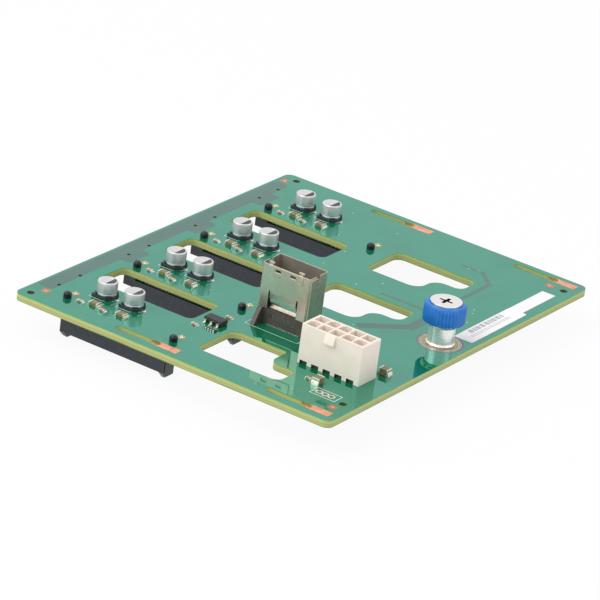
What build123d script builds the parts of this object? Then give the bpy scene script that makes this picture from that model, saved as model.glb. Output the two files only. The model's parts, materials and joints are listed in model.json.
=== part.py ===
from build123d import *
import os

# Drive backplane board: a bare circuit board that hangs on four chassis hooks and is held by one
# captive thumbscrew. Four drive connectors hang under it. A data connector, a power header,
# eight capacitors and small parts stand on it.
# Millimetres. +X is along the short side, +Y along the long side, +Z out of the component side.
# Places on the board are measured from its left front corner.
# The frame's origin is the centre of the four hook slots, on the underside.

os.makedirs("parts", exist_ok=True)

# Board
board_width = 116.4
board_length = 146.6
board_thickness = 2.36
board_corner_radius = 2.6
bay_count = 4
bay_pitch = 35.5

# Hook slots that slide over the chassis hooks, and the bare copper beside each
hook_slot_length = 16.9
hook_slot_width = 2.7
hook_slot_x = 43.95
hook_slot_y = 4.3
hook_slot_right_margin = 17.55
hook_slot_back_margin = 3.7
hook_spacing_x = board_width - hook_slot_x - hook_slot_right_margin
hook_spacing_y = board_length - hook_slot_y - hook_slot_back_margin
hook_pad_length = 6.6
hook_pad_margin = 0.2
copper_thickness = 0.06

# Cooling slots between the bays
vent_length = 37.0
vent_width = 15.6
vent_x = 29.0
vent_y = 34.0
vent_corner_radius = 2.4

# Stepped cut-outs on the cable side: a square and a shallower wing to its right
cutout_x = 60.3
cutout_square = 20.3
cutout_wing = 9.8
cutout_depth = 19.4
cutout_wing_depth = 9.7
cutout_corner_radius = 3.0
cutout_front_y = 11.1
cutout_middle_y = 66.6
cutout_back_y = cutout_middle_y + bay_pitch
cutout_end_x = cutout_x + cutout_square + cutout_wing

# Small holes, the smallest of them with few sides
small_hole_sides = 8
tooling_hole_radius = 1.2
tooling_holes = [
    (3.75, 3.6),
    (5.6, board_length - 3.6),
    (board_width - 4.0, board_length - 8.8),
    (board_width - 4.2, 13.3),
]
lamp_hole_radius = 0.6
lamp_hole_x = 5.8
lamp_hole_y = 15.0
lamp_hole_spacing = 10.6
jumper_hole_radius = 0.45
jumper_margin = 11.5
jumper_x = board_width - jumper_margin
jumper_y = 14.8
jumper_pitch = 2.15
jumper_hole_count = 3

# Drive connector under each bay: a slotted bar with a guide blade at each end
drive_x = 33.1
drive_y = 9.6
drive_width = 39.0
drive_depth = 5.7
drive_height = 7.8
drive_tail_gap = 1.0
ear_span = 45.2
ear_width = 4.4
ear_height = 3.4
ear_depth = 8.2
mouth_length = 33.6
mouth_width = 2.4
mouth_depth = 5.6
mouth_key_width = 1.2
mouth_key_depth = 1.1
guide_thickness = 1.6
guide_reach = 2.2
guide_front_chamfer = 2.1
guide_back_chamfer = 0.5
guide_side_chamfer = 0.5
end_groove_width = 0.55
end_groove_depth = 0.6
end_groove_setback = 0.5
peg_spacing = 40.0
peg_sides = 12
peg_radius = 0.95
peg_hole_clearance = 0.05
peg_head_radius = 1.3
peg_head_height = 1.9
peg_head_chamfer = 0.55

# Contacts of a drive connector: power and signal along the front wall, a second signal row behind
drive_contact_width = 0.5
contact_thickness = 0.2
drive_contact_pitch = 1.27
power_contact_count = 15
power_row_shift = -6.4
signal_contact_count = 7
signal_row_shift = 11.5
back_contact_count = 7
back_contact_pitch = 0.8
back_row_shift = 5.1
drive_contact_tip_gap = 1.2
drive_contact_bend = 4.2
drive_contact_bow = 0.4
drive_tail_reach = 0.4
slit_width = 0.3
slit_clearance = 0.05

# Metal board locks that solder each drive connector to the board
lock_setback = 4.2
lock_width = 1.0
lock_thickness = 0.4
lock_hole_radius = 0.65
lock_stand = 0.5
lock_seat_depth = 1.2

# Capacitors, two in each bay
capacitor_x = 20.4
capacitor_step = 10.2
capacitor_y = 19.65
capacitor_radius = 3.15
capacitor_top = 5.4
capacitor_base = 6.6
capacitor_base_height = 1.0
capacitor_base_corner = 1.4
capacitor_groove_height = 1.55
capacitor_groove_width = 0.5
capacitor_groove_depth = 0.22
capacitor_top_chamfer = 0.35
capacitor_lead_width = 0.7
capacitor_lead_reach = 0.75
capacitor_lead_length = 2.2
capacitor_lead_thickness = 0.15

# Chip parts: two ceramics and two resistors in each bay, then the single ones
ceramic_length = 3.2
ceramic_width = 2.5
ceramic_height = 1.1
ceramic_x = 22.0
ceramic_step = 10.1
ceramic_y = 11.65
resistor_length = 2.0
resistor_width = 1.25
resistor_height = 0.6
resistor_x = 17.6
resistor_step = 8.4
resistor_y = 10.1
array_resistor_x = 50.4
array_resistor_y = 24.2
tab_resistor_x = 54.6
tab_resistor_y = 36.4
front_resistor_gap = 5.1
front_resistor_x = cutout_end_x + front_resistor_gap
front_resistor_y = 19.7
large_ceramic_length = 3.2
large_ceramic_width = 2.6
large_ceramic_height = 2.1
across_ceramic_gap = 8.6
across_ceramic_x = cutout_end_x + across_ceramic_gap
across_ceramic_y = 19.4
along_ceramic_margin = 7.5
along_ceramic_x = board_width - along_ceramic_margin
along_ceramic_y = 40.5
chip_end_length = 0.45
chip_end_skin = 0.06

# Resistor array in front of the regulator
array_x = 55.85
array_y = 24.9
array_length = 3.8
array_depth = 1.5
array_height = 0.55
array_pitch = 0.95
array_end_count = 4
array_end_width = 0.5
array_end_length = 0.3

# Regulator: three leads in front, one wide tab behind
regulator_x = 53.75
regulator_y = 30.4
regulator_length = 6.5
regulator_depth = 3.5
regulator_height = 1.6
regulator_stand = 0.1
regulator_draft = 8
regulator_lead_pitch = 2.3
regulator_lead_count = 3
regulator_lead_width = 0.72
regulator_tab_width = 3.0
regulator_lead_reach = 1.75
regulator_lead_thickness = 0.26
regulator_foot = 0.9

# Power header: two rows of five cells, a latch ramp in front
header_margin = 18.9
header_x = board_width - header_margin
header_y = 31.4
header_length = 22.2
header_depth = 9.6
header_height = 12.8
header_columns = 5
header_rows = 2
header_pitch = 4.2
header_row_spacing = 4.5
header_cell = 3.55
header_key_corner = 0.9
header_key_cells = [(0, 0), (3, 0), (4, 0), (1, 1), (2, 1)]
header_floor = 3.2
header_corner_round = 0.4
header_notch_width = 2.5
header_notch_height = 1.2
header_notch_depth = 0.9
header_notch_shift = -0.5
latch_width = 3.6
latch_height = 3.2
latch_reach = 1.0
latch_shift = -0.6
latch_catch = 0.6
pin_size = 1.07
pin_top_gap = 2.4
pin_point = 0.3
pin_below = 1.1
pin_hole_radius = 0.9

# Data connector: a plastic base with a card slot, and an upright cage of thin sheet round it
data_x = 69.2
data_y = 46.6
cage_width = 17.6
cage_depth = 9.7
cage_sheet = 0.3
cage_corner_radius = 0.7
cage_bottom = 5.1
cage_top = 19.4
cage_band_length = 12.8
cage_band_height = 2.9
cage_band_proud = 0.25
cage_window_spacing = 5.5
cage_window_width = 2.0
cage_window_height = 1.0
cage_window_drop = 1.3
cage_hook_spacing = 11.0
cage_hook_head = 2.0
cage_hook_neck = 1.0
cage_hook_height = 1.2
cage_hook_neck_height = 0.6
cage_notch_width = 2.0
cage_notch_depth = 2.1
cage_notch_shift = -0.4
cage_flap_width = 3.6
cage_flap_drop = 0.6
tongue_width = 9.6
tongue_slit = 0.55
tongue_length = 5.9
tongue_bend = 4.0
tongue_lean = 1.6
tongue_lip = 0.8
tongue_tip_gap = 0.5
cage_leg_width = 1.5
cage_leg_below = 0.9
cage_leg_spacing = 5.4
cage_leg_hole_radius = 0.95

data_base_gap = 0.1
data_tail_gap = 0.4
card_block_length = 15.4
card_block_depth = 4.4
card_block_height = 3.9
card_slot_length = 14.2
card_slot_width = 1.1
card_slot_depth = 4.6
cheek_width = 1.5
cheek_inset = 0.3
cheek_foot_reach = 4.4
cheek_top_reach = 1.1
rib_width = 0.36
rib_proud = 0.12
rib_drop = 1.0
rib_height = 1.5
data_contact_count = 15
data_contact_pitch = 0.8
data_row_shift = 1.3
data_contact_width = 0.36
data_contact_tip_gap = 0.7
data_contact_bend = 6.4
data_contact_bow = 0.25
data_tail_reach = 0.4

# Captive thumbscrew
screw_margin = 8.9
screw_x = board_width - screw_margin
screw_y = 73.15
screw_pad_radius = 5.4
ferrule_shank_radius = 3.15
ferrule_hole_clearance = 0.05
ferrule_lip_radius = 3.7
ferrule_lip_height = 0.4
ferrule_flange_radius = 4.55
ferrule_flange_height = 0.3
ferrule_cone_height = 0.6
ferrule_radius = 4.1
ferrule_top = 7.8
ferrule_rim_height = 0.7
ferrule_bore_radius = 3.1
ferrule_floor = 0.6
ferrule_screw_clearance = 0.15
knob_radius = 6.6
knob_bottom = 7.5
knob_top = 13.4
knob_top_chamfer = 0.4
knob_cavity_radius = 4.5
knob_roof = 1.7
knob_rib_count = 36
knob_rib_sides = 6
knob_rib_radius = 0.32
knob_rib_stand = 0.25
knob_rib_top_gap = 0.5
screw_radius = 2.0
screw_boss_radius = 2.6
screw_head_radius = 4.95
screw_head_height = 1.4
screw_head_stand = 0.65
screw_head_clearance = 0.05
screw_recess_span = 4.6
screw_recess_width = 1.1
screw_recess_depth = 1.8
collar_clearance = 0.2
collar_height = 0.75
collar_gap = 0.1
screw_tip_inset = 0.5
screw_point = 0.5
spring_wire_radius = 0.22
spring_wire_sides = 4
spring_turns = 4.5
spring_radius = 2.58
spring_end_gap = 0.05

# Label strip along the right edge, between the thumbscrew and the board's back
label_margin = 5.9
label_screw_gap = 1.8
label_back_margin = 14.35
label_front_y = screw_y + screw_pad_radius + label_screw_gap
label_length = board_length - label_back_margin - label_front_y
label_x = board_width - label_margin
label_y = label_front_y + label_length / 2
label_width = 5.2
label_thickness = 0.1

# The board's two faces, each with its left front corner as origin
hook_centre_x = hook_slot_x + hook_spacing_x / 2
hook_centre_y = hook_slot_y + hook_spacing_y / 2
underside = Plane((-hook_centre_x, -hook_centre_y, 0))
topside = underside.offset(board_thickness)
bays = [bay * bay_pitch for bay in range(bay_count)]


def facing_front(face, x, y, z):
    """Upright plane at a place on one face of the board, seen from the front edge."""
    return Plane(face.from_local_coords(Vector(x, y, z)), x_dir=(1, 0, 0), z_dir=(0, -1, 0))


def facing_right(face, x, y, z):
    """Upright plane at a place on one face of the board, seen from the right edge."""
    return Plane(face.from_local_coords(Vector(x, y, z)), x_dir=(0, 1, 0), z_dir=(1, 0, 0))


def row(count, pitch):
    """Places of a row of pieces about its middle."""
    return [(place - (count - 1) / 2) * pitch for place in range(count)]


def in_every_bay(places):
    """The same places in each bay."""
    return [(x, y + bay) for x, y in places for bay in bays]


def save(part, name):
    """Name one finished piece and write its file."""
    part.label = name
    export_step(part, f"parts/{name}.step")


def stepped_cutout(wing_y):
    """Outline of a stepped cut-out, from its left front corner."""
    with BuildSketch() as outline:
        Rectangle(cutout_square, cutout_depth, align=Align.MIN)
        with Locations((0, wing_y)):
            Rectangle(cutout_square + cutout_wing, cutout_wing_depth, align=Align.MIN)
        corners = outline.vertices().sort_by(Axis.X)
        fillet(corners[:2] + corners[-2:], cutout_corner_radius)
    return outline.sketch


def small_hole(radius, sides=small_hole_sides):
    """Take a small hole with few sides out of a sketch, clear of the given radius."""
    RegularPolygon(radius, sides, major_radius=False, mode=Mode.SUBTRACT)


def header_cell_outline(corner):
    """Outline of a power header cell, with its two back corners cut off where it is keyed."""
    with BuildSketch() as outline:
        Rectangle(header_cell, header_cell)
        if corner:
            chamfer(outline.vertices().sort_by(Axis.Y)[-2:], corner)
    return outline.sketch


def contact_outline(side, up, outer, tail, bend, tip, bow):
    """Side outline of a contact: tail on the board, stem through the plastic, bowed tip."""
    inner = outer - contact_thickness
    return [
        (side * tail, 0),
        (side * inner, 0),
        (side * inner, up * bend),
        (side * (inner - bow), up * tip),
        (side * (outer - bow), up * tip),
        (side * outer, up * bend),
        (side * outer, up * contact_thickness),
        (side * tail, up * contact_thickness),
    ]


# Places shared by the board and what passes through it
peg_places = [(drive_x + side * peg_spacing / 2, drive_y) for side in (-1, 1)]
lock_places = [(x, y + lock_setback) for x, y in peg_places]
leg_places = [
    (data_x + side * (cage_width - cage_sheet) / 2, data_y + step)
    for side in (-1, 1)
    for step in row(2, cage_leg_spacing)
]

# Board
with BuildPart() as board:
    with BuildSketch(underside):
        with Locations((board_width / 2, board_length / 2)):
            RectangleRounded(board_width, board_length, board_corner_radius)
        with Locations([(vent_x, vent_y + bay) for bay in bays[:-1]]):
            RectangleRounded(vent_length, vent_width, vent_corner_radius, mode=Mode.SUBTRACT)
        with Locations((cutout_x, cutout_front_y)):
            add(stepped_cutout(0), mode=Mode.SUBTRACT)
        with Locations((cutout_x, cutout_middle_y), (cutout_x, cutout_back_y)):
            add(stepped_cutout(cutout_depth - cutout_wing_depth), mode=Mode.SUBTRACT)
        with Locations((hook_centre_x, hook_centre_y)):
            with GridLocations(hook_spacing_x, hook_spacing_y, 2, 2):
                SlotOverall(hook_slot_length, hook_slot_width, mode=Mode.SUBTRACT)
        with Locations(tooling_holes):
            Circle(tooling_hole_radius, mode=Mode.SUBTRACT)
        with Locations([(lamp_hole_x, lamp_hole_y + bay) for bay in bays]):
            small_hole(lamp_hole_radius)
        with Locations([(lamp_hole_x, lamp_hole_y + lamp_hole_spacing + bay) for bay in bays]):
            small_hole(lamp_hole_radius)
        with Locations([(jumper_x + step, jumper_y) for step in row(jumper_hole_count, jumper_pitch)]):
            small_hole(jumper_hole_radius)
        with Locations(in_every_bay(peg_places)):
            small_hole(peg_radius + peg_hole_clearance, peg_sides)
        with Locations(in_every_bay(lock_places)):
            small_hole(lock_hole_radius)
        with Locations(leg_places):
            small_hole(cage_leg_hole_radius)
        with Locations((header_x, header_y)):
            with GridLocations(header_pitch, header_row_spacing, header_columns, header_rows):
                small_hole(pin_hole_radius)
        with Locations((screw_x, screw_y)):
            Circle(ferrule_shank_radius + ferrule_hole_clearance, mode=Mode.SUBTRACT)
    extrude(amount=board_thickness)
save(board.part, "board")

# Bare copper that the chassis hooks press on, from the end of each hook slot
with BuildPart() as hook_pads:
    with BuildSketch(topside):
        pad_length = hook_pad_length + hook_slot_width / 2
        pad_shift = (hook_slot_length - hook_slot_width + pad_length) / 2
        with Locations((hook_centre_x + pad_shift, hook_centre_y)):
            with GridLocations(hook_spacing_x, hook_spacing_y, 2, 2):
                Rectangle(pad_length, hook_slot_width + 2 * hook_pad_margin)
        with Locations((hook_centre_x, hook_centre_y)):
            with GridLocations(hook_spacing_x, hook_spacing_y, 2, 2):
                SlotOverall(hook_slot_length, hook_slot_width, mode=Mode.SUBTRACT)
    extrude(amount=copper_thickness)
save(hook_pads.part, "hook_ground_pads")

# Drive connector of the first bay
drive_front = -drive_depth / 2
guide_outline = [
    (drive_front, 0),
    (drive_front + guide_front_chamfer, -guide_reach),
    (-drive_front - guide_back_chamfer, -guide_reach),
    (-drive_front, guide_back_chamfer - guide_reach),
    (-drive_front, drive_height - ear_height),
    (drive_front, drive_height - ear_height),
]
row_outer = mouth_width / 2 - slit_clearance
slit_centre = (mouth_width - slit_width) / 2
power_row_length = row(power_contact_count, drive_contact_pitch)[-1] * 2 + drive_contact_width
signal_row_length = row(signal_contact_count, drive_contact_pitch)[-1] * 2 + drive_contact_width
back_row_length = row(back_contact_count, back_contact_pitch)[-1] * 2 + drive_contact_width

with BuildPart() as drive_housing:
    with BuildSketch(underside.offset(-drive_height)):
        with Locations((drive_x, drive_y)):
            Rectangle(drive_width, drive_depth)
    extrude(amount=drive_height - drive_tail_gap)
    # Ears that stand against the board
    with BuildSketch(underside.offset(-ear_height)):
        with Locations((drive_x, drive_y + drive_front + ear_depth / 2)):
            with GridLocations(ear_span - ear_width, 1, 2, 1):
                Rectangle(ear_width, ear_depth)
    extrude(amount=ear_height)
    # Guide blades
    for side in (-1, 1):
        blade_x = drive_x + side * drive_width / 2
        with BuildSketch(facing_right(underside, blade_x, drive_y, -drive_height)):
            with BuildLine():
                Polyline(guide_outline, close=True)
            make_face()
        extrude(amount=-side * guide_thickness)
    tips = drive_housing.edges().filter_by(Axis.Y).group_by(Axis.Z)[0].sort_by(Axis.X)
    chamfer([tips[0], tips[-1]], guide_side_chamfer)
    # Mouth with its two key legs, and the slits that the contacts pass through
    with BuildSketch(underside.offset(-drive_height)):
        with Locations((drive_x, drive_y)):
            Rectangle(mouth_length, mouth_width)
        key_x = mouth_length / 2 - mouth_key_width / 2
        with Locations((drive_x - key_x, drive_y), (drive_x + key_x, drive_y)):
            Rectangle(mouth_key_width, mouth_width + mouth_key_depth)
    extrude(amount=mouth_depth, mode=Mode.SUBTRACT)
    with BuildSketch(underside.offset(-drive_tail_gap)):
        with Locations((drive_x + power_row_shift, drive_y - slit_centre)):
            Rectangle(power_row_length + 2 * slit_clearance, slit_width)
        with Locations((drive_x + signal_row_shift, drive_y - slit_centre)):
            Rectangle(signal_row_length + 2 * slit_clearance, slit_width)
        with Locations((drive_x + back_row_shift, drive_y + slit_centre)):
            Rectangle(back_row_length + 2 * slit_clearance, slit_width)
    extrude(amount=-(drive_height - drive_tail_gap), mode=Mode.SUBTRACT)
    # Grooves down both end faces
    with BuildSketch(underside.offset(-drive_height)):
        groove_y = drive_front + end_groove_setback + end_groove_width / 2
        with Locations((drive_x, drive_y + groove_y)):
            with GridLocations(drive_width - end_groove_depth, 1, 2, 1):
                Rectangle(end_groove_depth, end_groove_width)
    extrude(amount=drive_height - ear_height, mode=Mode.SUBTRACT)
    # Staked pegs through the board
    with BuildSketch(underside):
        with Locations(peg_places):
            RegularPolygon(peg_radius, peg_sides)
    extrude(amount=board_thickness)
    with BuildSketch(topside):
        with Locations(peg_places):
            RegularPolygon(peg_head_radius, peg_sides)
    extrude(amount=peg_head_height)
    chamfer(drive_housing.faces().group_by(Axis.Z)[-1].edges(), peg_head_chamfer)
    # Seats of the board locks
    with BuildSketch(underside):
        with Locations(lock_places):
            Rectangle(lock_thickness, lock_width)
    extrude(amount=-lock_seat_depth, mode=Mode.SUBTRACT)

with BuildPart() as drive_contacts:
    tail_end = drive_depth / 2 + drive_tail_reach
    tip_depth = drive_height - drive_contact_tip_gap
    front_outline = contact_outline(
        -1, -1, row_outer, tail_end, drive_contact_bend, tip_depth, drive_contact_bow
    )
    back_outline = contact_outline(
        1, -1, row_outer, tail_end, drive_contact_bend, tip_depth, drive_contact_bow
    )
    power_places = [power_row_shift + step for step in row(power_contact_count, drive_contact_pitch)]
    signal_places = [signal_row_shift + step for step in row(signal_contact_count, drive_contact_pitch)]
    back_places = [back_row_shift + step for step in row(back_contact_count, back_contact_pitch)]
    for place in power_places + signal_places:
        with BuildSketch(facing_right(underside, drive_x + place, drive_y, 0)):
            with BuildLine():
                Polyline(front_outline, close=True)
            make_face()
    for place in back_places:
        with BuildSketch(facing_right(underside, drive_x + place, drive_y, 0)):
            with BuildLine():
                Polyline(back_outline, close=True)
            make_face()
    extrude(amount=drive_contact_width / 2, both=True)

for number, bay in enumerate(bays, start=1):
    save(Pos(0, bay, 0) * drive_housing.part, f"drive_connector_{number}")
    save(Pos(0, bay, 0) * drive_contacts.part, f"drive_contacts_{number}")

# Board locks of all the drive connectors
with BuildPart() as board_locks:
    with BuildSketch(underside.offset(-lock_seat_depth)):
        with Locations(in_every_bay(lock_places)):
            Rectangle(lock_thickness, lock_width)
    extrude(amount=lock_seat_depth + board_thickness + lock_stand)
save(board_locks.part, "drive_board_locks")

# Capacitors: plastic base, aluminium can, two leads
capacitor_places = in_every_bay([(capacitor_x, capacitor_y), (capacitor_x + capacitor_step, capacitor_y)])
lead_outer = capacitor_base / 2 + capacitor_lead_reach
lead_centre = lead_outer - capacitor_lead_length / 2

with BuildPart() as capacitor_bases:
    with BuildSketch(topside):
        with Locations(capacitor_places):
            Rectangle(capacitor_base, capacitor_base)
    extrude(amount=capacitor_base_height)
    right_sides = capacitor_bases.edges().filter_by(Axis.Z).group_by(Axis.X)
    chamfered = right_sides[1] + right_sides[3]
    chamfer(chamfered, capacitor_base_corner)
    with BuildSketch(topside):
        with Locations(capacitor_places):
            with GridLocations(2 * lead_centre, 1, 2, 1):
                Rectangle(capacitor_lead_length, capacitor_lead_width)
    extrude(amount=capacitor_lead_thickness, mode=Mode.SUBTRACT)
save(capacitor_bases.part, "capacitor_bases")

groove_inner = capacitor_radius - capacitor_groove_depth
groove_low = capacitor_groove_height - capacitor_groove_width / 2
groove_high = capacitor_groove_height + capacitor_groove_width / 2
with BuildPart() as capacitor_cans:
    for x, y in capacitor_places:
        with BuildSketch(facing_front(topside, x, y, 0)):
            with BuildLine():
                Polyline(
                    (0, capacitor_top),
                    (0, capacitor_base_height),
                    (capacitor_radius, capacitor_base_height),
                    (capacitor_radius, groove_low),
                    (groove_inner, capacitor_groove_height),
                    (capacitor_radius, groove_high),
                    (capacitor_radius, capacitor_top - capacitor_top_chamfer),
                    (capacitor_radius - capacitor_top_chamfer, capacitor_top),
                    close=True,
                )
            make_face()
        revolve(axis=Axis(topside.from_local_coords(Vector(x, y, 0)), (0, 0, 1)))
save(capacitor_cans.part, "capacitor_cans")

with BuildPart() as capacitor_leads:
    with BuildSketch(topside):
        with Locations(capacitor_places):
            with GridLocations(2 * lead_centre, 1, 2, 1):
                Rectangle(capacitor_lead_length, capacitor_lead_width)
    extrude(amount=capacitor_lead_thickness)
save(capacitor_leads.part, "capacitor_leads")

# Chip parts: bodies grouped by kind, with their metal ends as one group
ceramic_size = (ceramic_length, ceramic_width, ceramic_height)
resistor_size = (resistor_length, resistor_width, resistor_height)
large_ceramic_size = (large_ceramic_length, large_ceramic_width, large_ceramic_height)
large_ceramic_across = (across_ceramic_x, across_ceramic_y)
large_ceramic_along = (along_ceramic_x, along_ceramic_y)
ceramic_places = in_every_bay([(ceramic_x, ceramic_y), (ceramic_x + ceramic_step, ceramic_y)])
resistor_places = in_every_bay([(resistor_x, resistor_y), (resistor_x + resistor_step, resistor_y)])
resistor_places += [
    (front_resistor_x, front_resistor_y),
    (array_resistor_x, array_resistor_y),
    (tab_resistor_x, tab_resistor_y),
]


def body_size(size):
    """Plan of a chip's body between its metal ends."""
    return size[0] - 2 * chip_end_length, size[1] - 2 * chip_end_skin


with BuildPart() as ceramic_bodies:
    with BuildSketch(topside.offset(chip_end_skin)):
        with Locations(ceramic_places):
            Rectangle(*body_size(ceramic_size))
    extrude(amount=ceramic_size[2] - 2 * chip_end_skin)
save(ceramic_bodies.part, "ceramic_chip_bodies")

with BuildPart() as resistor_bodies:
    with BuildSketch(topside.offset(chip_end_skin)):
        with Locations(resistor_places):
            Rectangle(*body_size(resistor_size))
    extrude(amount=resistor_size[2] - 2 * chip_end_skin)
save(resistor_bodies.part, "resistor_chip_bodies")

with BuildPart() as large_ceramic_bodies:
    with BuildSketch(topside.offset(chip_end_skin)):
        with Locations(large_ceramic_along):
            Rectangle(*body_size(large_ceramic_size))
        with Locations(large_ceramic_across):
            Rectangle(*body_size(large_ceramic_size), rotation=90)
    extrude(amount=large_ceramic_size[2] - 2 * chip_end_skin)
save(large_ceramic_bodies.part, "large_ceramic_bodies")

with BuildPart() as chip_ends:
    for size, places in ((ceramic_size, ceramic_places), (resistor_size, resistor_places)):
        length, width, height = size
        with BuildSketch(topside):
            with Locations(places):
                with GridLocations(length - chip_end_length, 1, 2, 1):
                    Rectangle(chip_end_length, width)
        extrude(amount=height)
    length, width, height = large_ceramic_size
    with BuildSketch(topside):
        with Locations(large_ceramic_along):
            with GridLocations(length - chip_end_length, 1, 2, 1):
                Rectangle(chip_end_length, width)
        with Locations(large_ceramic_across):
            with GridLocations(1, length - chip_end_length, 1, 2):
                Rectangle(width, chip_end_length)
    extrude(amount=height)
save(chip_ends.part, "chip_metal_ends")

# Resistor array and its metal ends
with BuildPart() as array_body:
    with BuildSketch(topside):
        with Locations((array_x, array_y)):
            Rectangle(array_length, array_depth)
            with GridLocations(array_pitch, array_depth - array_end_length, array_end_count, 2):
                Rectangle(array_end_width, array_end_length, mode=Mode.SUBTRACT)
    extrude(amount=array_height)
save(array_body.part, "resistor_array_body")

with BuildPart() as array_ends:
    with BuildSketch(topside):
        with Locations((array_x, array_y)):
            with GridLocations(array_pitch, array_depth - array_end_length, array_end_count, 2):
                Rectangle(array_end_width, array_end_length)
    extrude(amount=array_height)
save(array_ends.part, "resistor_array_ends")

# Regulator body and leads
regulator_middle = regulator_stand + regulator_height / 2
with BuildPart() as regulator_body:
    with BuildSketch(topside.offset(regulator_middle)):
        with Locations((regulator_x, regulator_y)):
            Rectangle(regulator_length, regulator_depth)
    extrude(amount=regulator_height / 2, both=True, taper=regulator_draft)
save(regulator_body.part, "regulator_body")

with BuildPart() as regulator_leads:
    lead_steps = row(regulator_lead_count, regulator_lead_pitch)
    lead_places = [(step, -1, regulator_lead_width) for step in lead_steps]
    for shift, side, width in lead_places + [(0, 1, regulator_tab_width)]:
        root = side * regulator_depth / 2
        toe = side * (regulator_depth / 2 + regulator_lead_reach)
        heel = side * (regulator_depth / 2 + regulator_lead_reach - regulator_foot)
        high = regulator_middle + regulator_lead_thickness / 2
        with BuildSketch(facing_right(topside, regulator_x + shift, regulator_y, 0)):
            with BuildLine():
                Polyline(
                    (root, high),
                    (heel, high),
                    (heel, regulator_lead_thickness),
                    (toe, regulator_lead_thickness),
                )
                offset(amount=regulator_lead_thickness, side=Side.RIGHT if side > 0 else Side.LEFT)
            make_face()
        extrude(amount=width / 2, both=True)
save(regulator_leads.part, "regulator_leads")

# Power header housing and pins
with BuildPart() as header_housing:
    with BuildSketch(topside):
        with Locations((header_x, header_y)):
            RectangleRounded(header_length, header_depth, header_corner_round)
    extrude(amount=header_height)
    with BuildSketch(topside.offset(header_floor)):
        for line, cell_y in enumerate(row(header_rows, header_row_spacing)):
            for column, cell_x in enumerate(row(header_columns, header_pitch)):
                corner = header_key_corner if (column, line) in header_key_cells else 0
                with Locations((header_x + cell_x, header_y + cell_y)):
                    add(header_cell_outline(corner))
    extrude(amount=header_height - header_floor, mode=Mode.SUBTRACT)
    with BuildSketch(topside):
        with Locations((header_x, header_y)):
            with GridLocations(header_pitch, header_row_spacing, header_columns, header_rows):
                Rectangle(pin_size, pin_size)
    extrude(amount=header_floor, mode=Mode.SUBTRACT)
    with BuildSketch(topside):
        notch_y = header_y - (header_depth - header_notch_depth) / 2
        with Locations((header_x + header_notch_shift, notch_y)):
            with GridLocations(header_pitch, 1, header_columns, 1):
                Rectangle(header_notch_width, header_notch_depth)
    extrude(amount=header_notch_height, mode=Mode.SUBTRACT)
    header_front = header_y - header_depth / 2
    with BuildSketch(facing_right(topside, header_x + latch_shift, header_front, header_height)):
        with BuildLine():
            Polyline(
                (0, 0),
                (-latch_reach, latch_catch - latch_height),
                (-latch_reach, -latch_height),
                (0, -latch_height),
                close=True,
            )
        make_face()
    extrude(amount=latch_width / 2, both=True)
save(header_housing.part, "power_header")

with BuildPart() as header_pins:
    with BuildSketch(underside.offset(-pin_below)):
        with Locations((header_x, header_y)):
            with GridLocations(header_pitch, header_row_spacing, header_columns, header_rows):
                Rectangle(pin_size, pin_size)
    extrude(amount=pin_below + board_thickness + header_height - pin_top_gap)
    chamfer(header_pins.faces().sort_by(Axis.Z)[-header_columns * header_rows:].edges(), pin_point)
save(header_pins.part, "power_header_pins")

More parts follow.
